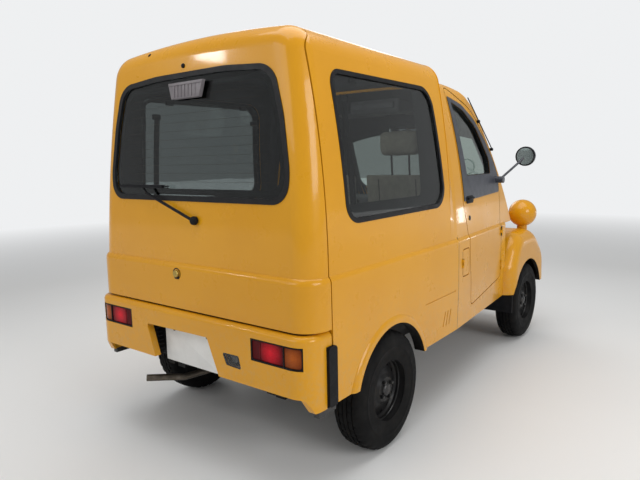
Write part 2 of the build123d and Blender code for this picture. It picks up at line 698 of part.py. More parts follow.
rail_x = (hatch_seam_x + 20, front_axle_x + 250)
rails = [block(rail_x, sorted((side * rail_inner, side * rail_outer)), rail_z) for side in (1, -1)]
parts["chassis_rails"] = rails
cross_rows = [(hatch_seam_x + 60, 60), (rear_axle_x + 150, 50), (seam_x - 145, 60), (seam_x + 260, 60),
              (front_axle_x - 60, 120), (front_axle_x + 190, 60)]
members = []
for x, width in cross_rows:
    members.append(block((x, x + width), (-rail_inner, rail_inner), rail_z))
for x in (hatch_seam_x + 60, rear_axle_x - 30, seam_x - 140):
    for side in (1, -1):
        members.append(block((x, x + 60), sorted((side * rail_inner, side * rail_outer)),
                             (rail_z[1], cargo_floor_z - floor_thickness)))
for x in (seam_x - 440, seam_x - 240):
    for side in (1, -1):
        members.append(block((x, x + 50), sorted((side * 230, side * rail_inner)), (310, 340)))
parts["cross_members"] = members
arms = []
for side in (1, -1):
    foot, head, run = kingpin(side)
    boss = rod(foot - run * boss_half, foot + run * boss_half, 17)
    arm_y = sorted((side * rail_inner, side * (abs(foot.Y) - 14)))
    arm = block((front_axle_x - 20, front_axle_x + 20), arm_y, (foot.Z - 9, foot.Z + 7))
    drop = block((front_axle_x - 20, front_axle_x + 20), sorted((side * rail_inner, side * rail_outer)),
                 (foot.Z - 9, rail_z[0]))
    bore = rod(foot - run * 40, foot + run * 40, pin_radius + running_gap)
    arms.append(arm + boss + drop - bore)
parts["front_arms"] = arms

axle = rod((rear_axle_x, -490, tyre_radius), (rear_axle_x, 490, tyre_radius), axle_radius)
stub_end = track_half + 40
axle += rod((rear_axle_x, -stub_end, tyre_radius), (rear_axle_x, stub_end, tyre_radius), wheel_bore)
axle += Pos(rear_axle_x, 0, tyre_radius) * Sphere(80)
for side in (1, -1):
    y = side * (rail_inner + rail_outer) / 2
    leaf_rows = [(rear_axle_x - 340, 268, 0), (rear_axle_x, tyre_radius - axle_radius - 16, 900),
                 (rear_axle_x + 340, 268, 0), (rear_axle_x + 340, 280, 0),
                 (rear_axle_x, tyre_radius - axle_radius - 2, 900), (rear_axle_x - 340, 280, 0)]
    leaf = Pos(0, y + 25, 0) * extrude(outline(leaf_rows), amount=50)
    for x in (rear_axle_x - 340, rear_axle_x + 315):
        leaf += block((x, x + 25), (y - 25, y + 25), (262, rail_z[0]))
    leaf += block((rear_axle_x - 40, rear_axle_x + 40), (y - 25, y + 25), (205, 240))
    axle += leaf
parts["rear_axle"] = axle

print("wheels")
tyre_half = tyre_width / 2
rim_half = 60
tyre_section = [(rim_radius, -rim_half, 0), (tyre_radius - 26, -tyre_half, 0), (tyre_radius, -44, 0),
                (tyre_radius, 44, 0), (tyre_radius - 26, tyre_half, 0), (rim_radius, rim_half, 0)]
rim_section = [(rim_radius, -rim_half, 0), (rim_radius, rim_half, 0), (rim_radius - 6, rim_half, 0),
               (rim_radius - 12, 18, 0), (120, 10, 0), (92, 20, 0), (66, 30, 0), (52, 40, 0),
               (wheel_bore + running_gap, 40, 0), (wheel_bore + running_gap, 10, 0), (60, 14, 0),
               (116, 0, 0), (rim_radius - 12, -26, 0), (rim_radius - 6, -rim_half, 0)]


def wheel_turn(section, x, y, z, side):
    """Revolve a wheel section, given as radius and offset outboard, about the wheel's axis."""
    face = outline([(r, o, c) for r, o, c in section], Plane.XY)
    solid = revolve(face, axis=Axis.Y)
    if side < 0:
        solid = mirror(solid, about=Plane.XZ)
    return Pos(x, y, z) * solid


def rim_holes(x, y, z):
    """Ring of round vents through the wheel disc."""
    holes = []
    for turn in range(12):
        angle = 2 * pi * turn / 12
        place = Pos(x + 106 * cos(angle), y, z + 106 * sin(angle)) * Rot(90, 0, 0)
        holes.append(place * Cylinder(8, 140))
    return holes


wheel_rows = [("front_left", front_axle_x, 1), ("front_right", front_axle_x, -1),
              ("rear_left", rear_axle_x, 1), ("rear_right", rear_axle_x, -1)]
for name, x, side in wheel_rows:
    y = side * track_half
    parts["tyre_" + name] = wheel_turn(tyre_section, x, y, tyre_radius, side)
    rim = wheel_turn(rim_section, x, y, tyre_radius, side)
    for hole in rim_holes(x, y, tyre_radius):
        rim -= hole
    parts["rim_" + name] = rim

spare_x = front_end - tyre_width / 2
spare_turn = Pos(spare_x, 0, spare_z) * Rot(0, 0, -90)
parts["spare_tyre"] = spare_turn * wheel_turn(tyre_section, 0, 0, 0, 1)
parts["spare_rim"] = spare_turn * wheel_turn(rim_section, 0, 0, 0, 1)
mount_stub = rod((nose_end, 0, spare_z), (spare_x + 60, 0, spare_z), wheel_bore - seat_gap)
mount_pad = rod((nose_end, 0, spare_z), (spare_x + 8, 0, spare_z), 50)
parts["spare_mount"] = mount_stub + mount_pad

for name, side in (("left", 1), ("right", -1)):
    foot, head, run = kingpin(side)
    hub = rod((front_axle_x, side * 470, tyre_radius), (front_axle_x, side * 560, tyre_radius), 46)
    stub = rod((front_axle_x, side * 500, tyre_radius), (front_axle_x, side * (track_half + 40), tyre_radius),
               wheel_bore)
    strut_foot = (front_axle_x, side * 448, 236)
    strut = rod(strut_foot, head - run * 16, 20)
    strut += rod(head - run * 22, head - run * seat_gap, 26)
    strut += rod(head - run * 16, head + run * 20, pin_radius)
    arm = block((front_axle_x - 24, front_axle_x + 24), sorted((side * 440, side * 500)), (226, 282))
    post = rod(foot + run * (boss_half + seat_gap), foot + run * 85, 17)
    post += rod(foot - run * 10, foot + run * 30, pin_radius)
    parts["knuckle_" + name] = hub + stub + strut + arm + post

print("interior")
dash_rows = [(firewall_x + 14.7, 760, 0), (firewall_x + 14.7, 950, 0), (firewall_x - 60, 980, 40),
             (firewall_x - 190, 960, 40), (firewall_x - 170, 760, 30)]
dash = across(outline(dash_rows), 900) & cab_form(cab_wall + seat_gap)
for side in (1, -1):
    dash -= side_prism(door_rows, door_inner, 760, side, door_lean, shut_gap) - door_pocket
column_head = (firewall_x - 290, -250, 985)
column = rod((firewall_x - 150, -250, 850), column_head, 24)
parts["dashboard"] = dash + column
wheel_axis = Vector(*column_head) - Vector(firewall_x - 150, -250, 850)
steer_plane = Plane(origin=Vector(*column_head) + wheel_axis.normalized() * seat_gap, z_dir=wheel_axis)
ring = steer_plane * Pos(0, 0, 14) * Torus(165, 13)
hub = steer_plane * Pos(0, 0, 14) * Cylinder(38, 28)
spokes = steer_plane * Pos(0, 0, 14) * Box(320, 34, 10)
parts["steering_wheel"] = ring + hub + spokes

seat_x = seam_x + 95
seat_depth = 460
seat_half = 230
seat_z = (560, 700)
seats = []
for side in (1, -1):
    y = side * 255
    cushion = block((seat_x, seat_x + seat_depth), (y - seat_half, y + seat_half), seat_z)
    cushion = fillet(cushion.edges(), 35)
    back_rows = [(seat_x, seat_z[1] - 60, 30), (seat_x + 120, seat_z[1] - 60, 30),
                 (seat_x + 50, 1150, 40), (seat_x - 50, 1150, 40)]
    back = Pos(0, y + seat_half - 5, 0) * extrude(outline(back_rows), amount=2 * seat_half - 10)
    head_rows = [(seat_x - 52, 1185, 25), (seat_x + 30, 1185, 25), (seat_x + 15, 1340, 25),
                 (seat_x - 60, 1340, 25)]
    head = Pos(0, y + 130, 0) * extrude(outline(head_rows), amount=260)
    posts = [rod((seat_x - 8, y + shift, 1100), (seat_x - 8, y + shift, 1250), 6) for shift in (-54, 54)]
    base = block((seat_x + 20, seat_x + seat_depth - 20), (y - 200, y + 200), (cab_floor_z, seat_z[0] + 10))
    seats.append(cushion + back + head + posts[0] + posts[1] + base)
parts["seats"] = seats

parts["engine"] = block((seam_x - 470, seam_x - 150), (-230, 230), (240, 545))
tank = fillet(block((seam_x + 20, seam_x + 250), (-270, 270), (210, 290)).edges(), 20)
tank += block((seam_x + 60, seam_x + 210), (-rail_outer, rail_outer), (285, rail_z[0] - seat_gap))
parts["fuel_tank"] = tank
silencer_x = rear_axle_x - 230
silencer = rod((silencer_x, -150, 305), (silencer_x, 170, 305), 60)
pipe_bend = (rear_axle_x - 420, 190, 268)
tail_pipe = rod((silencer_x - 30, 130, 278), pipe_bend, 15) + Pos(*pipe_bend) * Sphere(15)
tail_pipe += rod(pipe_bend, (rear_axle_x - 545, 300, 279), 15)
hanger = block((silencer_x - 15, silencer_x + 15), (130, rail_inner), (310, 340))
parts["exhaust"] = silencer + tail_pipe + hanger

print("small parts")
pivot = (rear_axle_x - 506, -44, 999)
arm_end = (rear_axle_x - 512, 246, 1102)
wiper = rod((pivot[0] + 12, pivot[1], pivot[2]), (pivot[0] - 20, pivot[1], pivot[2]), 13)
wiper += rod((pivot[0] - 16, pivot[1], pivot[2]), (arm_end[0] - 10, arm_end[1], arm_end[2]), 6)
wiper += block((arm_end[0] - 16, arm_end[0] - 2), (134, 426), (1126, 1138))
wiper += rod((arm_end[0] - 9, 246, 1102), (arm_end[0] - 9, 275, 1132), 5)
parts["hatch_wiper"] = wiper - box_form(-0.3)


def cab_half_at(x, z):
    """Half-width of the upper cab at a point along its length."""
    return half_width(cab_circle, z) - cab_taper * (x - seam_x) / cab_taper_length


aerial_foot = (front_axle_x - 462, 1272)
aerial_clip = (front_axle_x - 610, 1432)
aerial_tip = (front_axle_x - 690, 1560)
aerial_points = [(x, -cab_half_at(x, z) - 12, z) for x, z in (aerial_foot, aerial_clip)]
clip_run = Vector(*aerial_points[1]) - Vector(*aerial_points[0])
tip_z = (aerial_tip[1] - aerial_clip[1]) / clip_run.Z
antenna = rod(aerial_points[0], tuple(Vector(*aerial_points[1]) + clip_run * tip_z), 3)
for x, y, z in aerial_points:
    antenna += rod((x, y - 4, z), (x, y + 40, z), 9)
parts["antenna"] = antenna - cab_form(-0.3)

for name, shape in parts.items():
    pieces = shape if isinstance(shape, list) else [shape]
    whole = Compound(pieces) if len(pieces) > 1 else pieces[0]
    count = len(whole.solids())
    box = whole.bounding_box()
    print(name, count, whole.is_valid, round(whole.volume / 1e6, 2), box)
    export_step(whole, "parts/" + name + ".step")
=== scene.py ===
import math

import bmesh
import bpy
from mathutils import Matrix, Vector
from mathutils.bvhtree import BVHTree


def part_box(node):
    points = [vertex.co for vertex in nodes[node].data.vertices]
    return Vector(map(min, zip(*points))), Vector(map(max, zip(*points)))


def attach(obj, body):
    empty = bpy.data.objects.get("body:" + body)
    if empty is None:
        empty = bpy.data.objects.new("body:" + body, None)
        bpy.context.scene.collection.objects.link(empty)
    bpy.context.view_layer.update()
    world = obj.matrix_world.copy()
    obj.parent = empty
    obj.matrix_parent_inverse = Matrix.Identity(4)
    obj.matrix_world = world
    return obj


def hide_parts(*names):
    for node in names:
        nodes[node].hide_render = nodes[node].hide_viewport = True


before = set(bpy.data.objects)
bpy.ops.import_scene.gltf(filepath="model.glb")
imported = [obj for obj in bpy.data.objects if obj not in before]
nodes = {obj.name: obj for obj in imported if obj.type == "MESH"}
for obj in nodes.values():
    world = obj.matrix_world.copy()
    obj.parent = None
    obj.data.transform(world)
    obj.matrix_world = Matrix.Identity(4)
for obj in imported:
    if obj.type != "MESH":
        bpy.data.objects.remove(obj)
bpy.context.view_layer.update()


# Finishes: one function each, all worked out from the piece's own coordinates

def newMaterial(name):
    mat = bpy.data.materials.new(name)
    mat.use_nodes = True
    tree = mat.node_tree
    return mat, tree, tree.nodes["Principled BSDF"]


def addNode(tree, kind, **values):
    node = tree.nodes.new(kind)
    for key, value in values.items():
        setattr(node, key, value)
    return node


def setInputs(node, values):
    for socket, value in values.items():
        node.inputs[socket].default_value = value


def feed(tree, source, node, socket=0):
    tree.links.new(source, node.inputs[socket])


def ownPoint(tree):
    return addNode(tree, "ShaderNodeTexCoord").outputs["Object"]


def noise(tree, scale, detail=3.0, rough=0.55, stretch=(1, 1, 1)):
    place = addNode(tree, "ShaderNodeMapping")
    setInputs(place, {"Scale": stretch})
    feed(tree, ownPoint(tree), place, "Vector")
    out = addNode(tree, "ShaderNodeTexNoise")
    setInputs(out, {"Scale": scale, "Detail": detail, "Roughness": rough})
    feed(tree, place.outputs["Vector"], out, "Vector")
    return out.outputs["Fac"]


def remap(tree, source, low, high, toLow, toHigh):
    node = addNode(tree, "ShaderNodeMapRange")
    setInputs(node, {"From Min": low, "From Max": high, "To Min": toLow, "To Max": toHigh})
    feed(tree, source, node, "Value")
    return node.outputs["Result"]


def blendColours(tree, factor, first, second):
    node = addNode(tree, "ShaderNodeMix", data_type="RGBA")
    for socket, value in ((node.inputs[6], first), (node.inputs[7], second)):
        if isinstance(value, tuple):
            socket.default_value = (*value, 1.0)
        else:
            tree.links.new(value, socket)
    feed(tree, factor, node)
    return node.outputs[2]


def mixShaders(tree, factor, first, second, output="Material Output"):
    mix = addNode(tree, "ShaderNodeMixShader")
    for socket, value in enumerate((factor, first, second)):
        feed(tree, value, mix, socket)
    feed(tree, mix.outputs[0], tree.nodes[output], "Surface")


def multiply(tree, first, second):
    node = addNode(tree, "ShaderNodeMath", operation="MULTIPLY")
    feed(tree, first, node)
    feed(tree, second, node, 1)
    return node.outputs[0]


def bump(tree, shader, height, strength, distance=0.001):
    node = addNode(tree, "ShaderNodeBump")
    setInputs(node, {"Strength": strength, "Distance": distance})
    feed(tree, height, node, "Height")
    feed(tree, node.outputs["Normal"], shader, "Normal")


def splitPoint(tree):
    split = addNode(tree, "ShaderNodeSeparateXYZ")
    feed(tree, ownPoint(tree), split)
    return split.outputs


paintLook = {
    "main": (0.7, 0.325, 0.008),
    "shade": (0.655, 0.295, 0.007),
    "dust": (0.52, 0.33, 0.12),
    "dustHeights": (0.3, 0.75),
    "roughness": (0.25, 0.37),
    "gloss": 0.22,
    "coat": 0.42,
    "coatRoughness": 0.07,
}


def paintFinish(name):
    look = paintLook
    mat, tree, shader = newMaterial(name)
    cloud = remap(tree, noise(tree, 1.6, 4.0), 0.35, 0.65, 0.0, 1.0)
    base = blendColours(tree, cloud, look["main"], look["shade"])
    speck = remap(tree, noise(tree, 45.0, 6.0, 0.7), 0.48, 0.72, 0.0, 0.55)
    low = remap(tree, splitPoint(tree)["Z"], *look["dustHeights"], 1.0, 0.0)
    colour = blendColours(tree, multiply(tree, low, speck), base, look["dust"])
    feed(tree, colour, shader, "Base Color")
    smear = remap(tree, noise(tree, 9.0, 5.0, 0.6), 0.3, 0.7, *look["roughness"])
    feed(tree, smear, shader, "Roughness")
    setInputs(shader, {"Specular IOR Level": look["gloss"], "Coat Weight": look["coat"],
                       "Coat Roughness": look["coatRoughness"]})
    bump(tree, shader, noise(tree, 260.0, 2.0), 0.05)
    return mat


def plainFinish(name, first, second, roughness, spread, clouds, grain, depth, metallic=0.0, gloss=0.5,
                stretch=(1, 1, 1)):
    mat, tree, shader = newMaterial(name)
    cloud = remap(tree, noise(tree, clouds, 5.0, 0.6, stretch), 0.35, 0.68, 0.0, 1.0)
    feed(tree, blendColours(tree, cloud, first, second), shader, "Base Color")
    worn = remap(tree, noise(tree, clouds * 1.7, 4.0, 0.6, stretch), 0.3, 0.7, roughness - spread,
                 roughness + spread)
    feed(tree, worn, shader, "Roughness")
    setInputs(shader, {"Metallic": metallic, "Specular IOR Level": gloss})
    bump(tree, shader, noise(tree, grain, 3.0, 0.6, stretch), depth)
    return mat


def lensFinish(name, edge, middle, centre, reach):
    # moulded lens over a bowl: dark at its rim and brighter over the bulb, a painted reflection of the bowl behind
    # the lens
    mat, tree, shader = newMaterial(name)
    point = splitPoint(tree)
    away = addNode(tree, "ShaderNodeMath", operation="ABSOLUTE")
    feed(tree, point["Y"], away)
    flat = addNode(tree, "ShaderNodeCombineXYZ")
    feed(tree, away.outputs[0], flat, "Y")
    feed(tree, point["Z"], flat, "Z")
    gap = addNode(tree, "ShaderNodeVectorMath", operation="DISTANCE")
    setInputs(gap, {1: (0.0, *centre)})
    feed(tree, flat.outputs[0], gap)
    # painted glow: the lens colour brightens towards the bulb's place
    paintedGlow = remap(tree, gap.outputs["Value"], 0.004, reach, 1.0, 0.0)
    cloud = remap(tree, noise(tree, 60.0, 4.0, 0.6), 0.3, 0.7, 0.75, 1.0)
    feed(tree, blendColours(tree, multiply(tree, paintedGlow, cloud), edge, middle), shader, "Base Color")
    feed(tree, remap(tree, noise(tree, 30.0, 4.0), 0.3, 0.7, 0.1, 0.18), shader, "Roughness")
    setInputs(shader, {"Specular IOR Level": 0.12})
    bump(tree, shader, noise(tree, 160.0, 3.0), 0.08)
    return mat


def glassFinish(name, tint):
    mat, tree, shader = newMaterial(name)
    setInputs(shader, {"Base Color": (*tint, 1.0), "Transmission Weight": 1.0, "Roughness": 0.0, "IOR": 1.45})
    bump(tree, shader, noise(tree, 14.0, 4.0), 0.02, 0.0005)
    clear = addNode(tree, "ShaderNodeBsdfTransparent")
    setInputs(clear, {"Color": (*[math.sqrt(c) for c in tint], 1.0)})
    ray = addNode(tree, "ShaderNodeLightPath")
    mixShaders(tree, ray.outputs["Is Shadow Ray"], shader.outputs[0], clear.outputs[0])
    return mat


# columns: two colours, roughness, its spread, scale of clouds, scale of grain, bump, metallic, gloss, stretch
plainLooks = {
    "blackPaint": ((0.008, 0.008, 0.009), (0.016, 0.015, 0.014), 0.4, 0.1, 18, 220, 0.1, 0.0, 0.22),
    "chassisPaint": ((0.008, 0.008, 0.008), (0.026, 0.021, 0.018), 0.62, 0.14, 9, 90, 0.3, 0.0, 0.2),
    # dark rubber, also used as painted shade on the body seam and the cargo window reveals
    "rubberAndPaintedShade": ((0.006, 0.006, 0.007), (0.011, 0.011, 0.012), 0.46, 0.1, 25, 260, 0.12, 0.0, 0.24),
    "tyreRubber": ((0.005, 0.005, 0.0055), (0.012, 0.0115, 0.011), 0.66, 0.1, 12, 180, 0.25, 0.0, 0.08),
    "blackPlastic": ((0.007, 0.007, 0.008), (0.013, 0.013, 0.015), 0.5, 0.08, 30, 500, 0.25, 0.0, 0.11),
    "slatePlastic": ((0.04, 0.044, 0.056), (0.058, 0.062, 0.076), 0.36, 0.08, 12, 600, 0.2),
    "greyPlastic": ((0.12, 0.12, 0.125), (0.16, 0.16, 0.165), 0.6, 0.08, 20, 700, 0.25),
    "plateEnamel": ((0.8, 0.8, 0.78), (0.74, 0.74, 0.72), 0.35, 0.06, 16, 200, 0.06),
    "pipeSteel": ((0.06, 0.05, 0.04), (0.17, 0.145, 0.115), 0.45, 0.12, 22, 120, 0.25, 0.8),
    "castIron": ((0.06, 0.055, 0.05), (0.12, 0.105, 0.09), 0.68, 0.12, 14, 80, 0.4, 0.5),
    "seatCloth": ((0.25, 0.235, 0.19), (0.34, 0.32, 0.26), 0.9, 0.05, 40, 900, 0.5),
    "wheelSteel": ((0.05, 0.05, 0.052), (0.09, 0.088, 0.085), 0.34, 0.08, 25, 200, 0.15, 0.9),
    "mirrorSilver": ((0.86, 0.87, 0.88), (0.82, 0.83, 0.84), 0.05, 0.02, 12, 90, 0.01, 1.0),
    "lampHousing": ((0.165, 0.148, 0.158), (0.21, 0.19, 0.2), 0.4, 0.08, 30, 300, 0.1),
    "lockBrass": ((0.42, 0.3, 0.07), (0.52, 0.38, 0.11), 0.3, 0.08, 40, 300, 0.1, 0.8),
    "heaterPrint": ((0.1, 0.055, 0.03), (0.14, 0.075, 0.04), 0.5, 0.05, 60, 300, 0.1),
    "glassBorderDark": ((0.008, 0.008, 0.009), (0.012, 0.012, 0.013), 0.12, 0.03, 14, 120, 0.02, 0.0, 0.4),
    "liningCloth": ((0.03, 0.03, 0.033), (0.048, 0.048, 0.052), 0.92, 0.04, 30, 700, 0.4),
    "liningBoard": ((0.022, 0.022, 0.024), (0.036, 0.036, 0.039), 0.75, 0.08, 24, 400, 0.3),
    "beltWeb": ((0.02, 0.02, 0.021), (0.034, 0.034, 0.036), 0.8, 0.05, 60, 900, 0.4, 0.0, 0.5, (1, 1, 0.2)),
}
glassTints = {"tintedGlass": (0.38, 0.415, 0.412), "clearGlass": (0.78, 0.88, 0.83), "lampGlass": (0.92, 0.94, 0.94)}
# columns: rim colour, middle colour of the painted glow, place of the bulb as y and z, reach of the painted glow
lensLooks = {
    "redLens": ((0.085, 0.0015, 0.003), (0.78, 0.014, 0.03), (0.462, 0.546), 0.058),
    "amberLens": ((0.1, 0.016, 0.004), (0.46, 0.105, 0.014), (0.56, 0.546), 0.052),
}

print("finishes")
finishes = {"yellowPaint": paintFinish("yellowPaint")}
finishes.update({name: plainFinish(name, *row) for name, row in plainLooks.items()})
finishes.update({name: glassFinish(name, tint) for name, tint in glassTints.items()})
finishes.update({name: lensFinish(name, *row) for name, row in lensLooks.items()})

wheelNames = ("front_left", "front_right", "rear_left", "rear_right")
nodeLooks = {
    "yellowPaint": "cargo_roof cargo_side_left cargo_side_right cab_body front_fenders front_bumper rear_bumper"
                   " headlamp_pods hatch_panel door_left_panel door_right_panel fuel_lid",
    "tintedGlass": "cargo_glass hatch_glass",
    "clearGlass": "windscreen door_left_glass door_right_glass",
    "lampGlass": "clear_lenses",
    "redLens": "red_lamps",
    "amberLens": "amber_lamps",
    "plateEnamel": "number_plates",
    "rubberAndPaintedShade": "window_seals hatch_seal",
    "blackPlastic": "rear_trim antenna hatch_wiper steering_wheel",
    "slatePlastic": "door_left_trim door_right_trim",
    "greyPlastic": "dashboard",
    "seatCloth": "seats",
    "chassisPaint": "floor_pan chassis_rails cross_members front_arms rear_axle fuel_tank",
    "castIron": "engine knuckle_left knuckle_right",
    "pipeSteel": "exhaust",
    "blackPaint": " ".join(["spare_mount", "spare_rim"] + ["rim_" + name for name in wheelNames]),
    "tyreRubber": " ".join(["spare_tyre"] + ["tyre_" + name for name in wheelNames]),
}
for finish, names in nodeLooks.items():
    for name in names.split():
        nodes[name].data.materials.clear()
        nodes[name].data.materials.append(finishes[finish])


# Mesh helpers: every piece is built here in metres and rides on its body

def fromBmesh(bm):
    bmesh.ops.recalc_face_normals(bm, faces=bm.faces)
    mesh = bpy.data.meshes.new("shape")
    bm.to_mesh(mesh)
    bm.free()
    return mesh


def merged(meshes):
    bm = bmesh.new()
    for mesh in meshes:
        bm.from_mesh(mesh)
    return fromBmesh(bm)


def linked(name, data):
    thing = bpy.data.objects.new(name, data)
    bpy.context.scene.collection.objects.link(thing)
    return thing


def addPiece(name, shape, finish="blackPlastic", body="body", replaced=(), smooth=38):
    mesh = merged(shape) if isinstance(shape, list) else shape
    mesh.shade_smooth()
    mesh.set_sharp_from_angle(angle=math.radians(smooth))
    mesh.materials.clear()
    mesh.materials.append(finishes[finish])
    piece = linked(name, mesh)
    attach(piece, body)
    for node in replaced:
        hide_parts(node)
    return piece


def at(x, y, z):
    return Matrix.Translation((x, y, z))


def turned(degrees, axis):
    return Matrix.Rotation(math.radians(degrees), 4, axis)


def axisFrame(place, way):
    # local Z along the given way
    z = Vector(way).normalized()
    x = Vector((0, 0, 1)).cross(z)
    if x.length < 1e-4:
        x = Vector((1, 0, 0)).cross(z)
    x.normalize()
    y = z.cross(x)
    return Matrix.Translation(place) @ Matrix((x, y, z)).transposed().to_4x4()


def ringPoint(radius, angle, offset):
    return radius * math.cos(angle), radius * math.sin(angle), offset


def skinned(rows, around=True, closed=False, caps=()):
    # mesh over rows of points that have one length
    bm = bmesh.new()
    rings = [[bm.verts.new(point) for point in row] for row in rows]
    for low, high in zip(rings, rings[1:] + rings[:1] * closed):
        for k in range(len(low) if around else len(low) - 1):
            n = (k + 1) % len(low)
            bm.faces.new((low[k], low[n], high[n], high[k]))
    for cap in caps:
        bm.faces.new(rings[cap])
    return fromBmesh(bm)


def lathe(rows, steps, place=Matrix()):
    # rows of radius and offset along local Z; a radius of 0 is one point
    bm = bmesh.new()
    rings = []
    for radius, offset in rows:
        count = steps if radius else 1
        rings.append([bm.verts.new(ringPoint(radius, 2 * math.pi * k / steps, offset)) for k in range(count)])
    for low, high in zip(rings, rings[1:]):
        for k in range(steps):
            n = (k + 1) % steps
            corners = [low[k % len(low)], low[n % len(low)], high[n % len(high)], high[k % len(high)]]
            bm.faces.new(list(dict.fromkeys(corners)))
    bm.transform(place)
    return fromBmesh(bm)


def plate(points, thickness, place=Matrix(), bevel=0.0):
    bm = bmesh.new()
    face = bm.faces.new([bm.verts.new((x, y, 0)) for x, y in points])
    grown = bmesh.ops.extrude_face_region(bm, geom=[face])
    moved = [v for v in grown["geom"] if isinstance(v, bmesh.types.BMVert)]
    bmesh.ops.translate(bm, vec=(0, 0, thickness), verts=moved)
    if bevel:
        rim = [e for e in bm.edges if abs(e.verts[0].co.z - e.verts[1].co.z) < 1e-9
               and e.verts[0].co.z > thickness / 2]
        bmesh.ops.bevel(bm, geom=rim, offset=bevel, segments=2, affect="EDGES", profile=0.5)
    bm.transform(place)
    return fromBmesh(bm)


def roundedRows(width, height, radius, steps=6):
    # outline of a rounded plate
    points = []
    for corner, (sx, sy) in enumerate(((1, 1), (-1, 1), (-1, -1), (1, -1))):
        for k in range(steps + 1):
            x, y, _ = ringPoint(radius, math.pi / 2 * (corner + k / steps), 0)
            points.append((sx * (width / 2 - radius) + x, sy * (height / 2 - radius) + y))
    return points


def softBox(size, bevel, place=Matrix(), segments=3):
    bm = bmesh.new()
    bmesh.ops.create_cube(bm, size=1.0)
    bmesh.ops.scale(bm, vec=size, verts=bm.verts)
    bmesh.ops.bevel(bm, geom=bm.edges[:], offset=bevel, segments=segments, affect="EDGES", profile=0.5)
    bm.transform(place)
    return fromBmesh(bm)


def boxes(rows, base=Matrix()):
    # rows of size, rounding and place; what lies off the middle is there on both sides
    return [softBox(size, rounding, base @ at(x, side * y, z)) for size, rounding, (x, y, z) in rows
            for side in ((1, -1) if y else (1,))]


def tube(points, radius, facets=4):
    curve = bpy.data.curves.new("run", "CURVE")
    curve.dimensions = "3D"
    curve.bevel_depth, curve.bevel_resolution, curve.use_fill_caps = radius, facets, True
    spline = curve.splines.new("NURBS")
    spline.points.add(len(points) - 1)
    for spot, point in zip(spline.points, points):
        spot.co = (*point, 1.0)
    spline.order_u = 3
    spline.use_endpoint_u = True
    holder = linked("run", curve)
    mesh = bpy.data.meshes.new_from_object(holder.evaluated_get(bpy.context.evaluated_depsgraph_get()))
    bpy.data.objects.remove(holder)
    return mesh


surfaces = {}


def touch(node, start, way):
    # where a straight line first meets a fixed node
    if node not in surfaces:
        mesh = nodes[node].data
        surfaces[node] = BVHTree.FromPolygons([v.co.copy() for v in mesh.vertices],
                                              [tuple(p.vertices) for p in mesh.polygons])
    place, normal, _, _ = surfaces[node].ray_cast(Vector(start), Vector(way).normalized())
    return place, normal


def traced(node, starts, way, shift):
    # where parallel lines meet a fixed node, moved a little
    hits = [touch(node, start, way)[0] for start in starts]
    return [hit + Vector(shift) for hit in hits if hit]


def spaced(low, high, count):
    return [low + (high - low) * k / (count - 1) for k in range(count)]


def roundedLoop(rows, perCorner=7, perSide=10):
    # closed loop of 2-D points from rows of corner and radius
    count = len(rows)
    arcs = []
    for k, (a, b, radius) in enumerate(rows):
        here = Vector((a, b))
        before = (Vector(rows[k - 1][:2]) - here).normalized()
        after = (Vector(rows[(k + 1) % count][:2]) - here).normalized()
        half = math.acos(max(-1.0, min(1.0, before.dot(after)))) / 2
        reach = radius / math.tan(half)
        centre = here + (before + after).normalized() * radius / math.sin(half)
        first, last = here + before * reach, here + after * reach
        spin = (first - centre).angle_signed(last - centre)
        arcs.append([centre + Matrix.Rotation(-spin * step / (perCorner - 1), 2) @ (first - centre)
                     for step in range(perCorner)] + [last, first])
    loop = []
    for k, (*arc, last, _) in enumerate(arcs):
        nextFirst = arcs[(k + 1) % count][-1]
        loop += arc + [last.lerp(nextFirst, step / perSide) for step in range(1, perSide)]
    return loop


def bandBetween(outer, inner, project, shift, rings=6):
    # closed thin ring between two loops, laid on a surface
    fronts = [[Vector(project(a.lerp(b, ring / rings))) for a, b in zip(outer, inner)] for ring in range(rings + 1)]
    backs = [[spot + Vector(shift) for spot in row] for row in reversed(fronts)]
    return skinned(fronts + backs, closed=True)


def thicken(mesh, depth):
    # closed shell grown from an open sheet, along its normals
    bm = bmesh.new()
    bm.from_mesh(mesh)
    bmesh.ops.recalc_face_normals(bm, faces=bm.faces)
    bmesh.ops.solidify(bm, geom=bm.faces[:], thickness=depth)
    return fromBmesh(bm)


def band(rows, depth):
    # closed strip from rows of points
    return thicken(skinned(rows, around=False), depth)


def lining(node, keep, lift):
    # trim sheet that follows the inner side of a fixed node
    bm = bmesh.new()
    bm.from_mesh(nodes[node].data)
    bmesh.ops.remove_doubles(bm, verts=bm.verts, dist=1e-5)
    bm.normal_update()
    outside = [f for f in bm.faces if not keep(f.calc_center_median(), f.normal)]
    bmesh.ops.delete(bm, geom=outside, context="FACES")
    bm.normal_update()
    for v, normal in [(v, v.normal.copy()) for v in bm.verts]:
        v.co += normal * lift
    sheet = bpy.data.meshes.new("lining")
    bm.to_mesh(sheet)
    bm.free()
    return sheet


def addLining(name, node, keep, finish, body="body", lift=0.002):
    addPiece(name, lining(node, keep, lift), finish, body, smooth=60)


def sided(y):
    return "left" if y > 0 else "right"


rearAxle = -0.84
frontAxle = 1.0
wheelHeight = 0.254
seam = rearAxle + 0.685
tailEnd = -1.395
sides = (1, -1)

# Tyres: rounded walls, raised rib on the wall, grooved and blocked tread

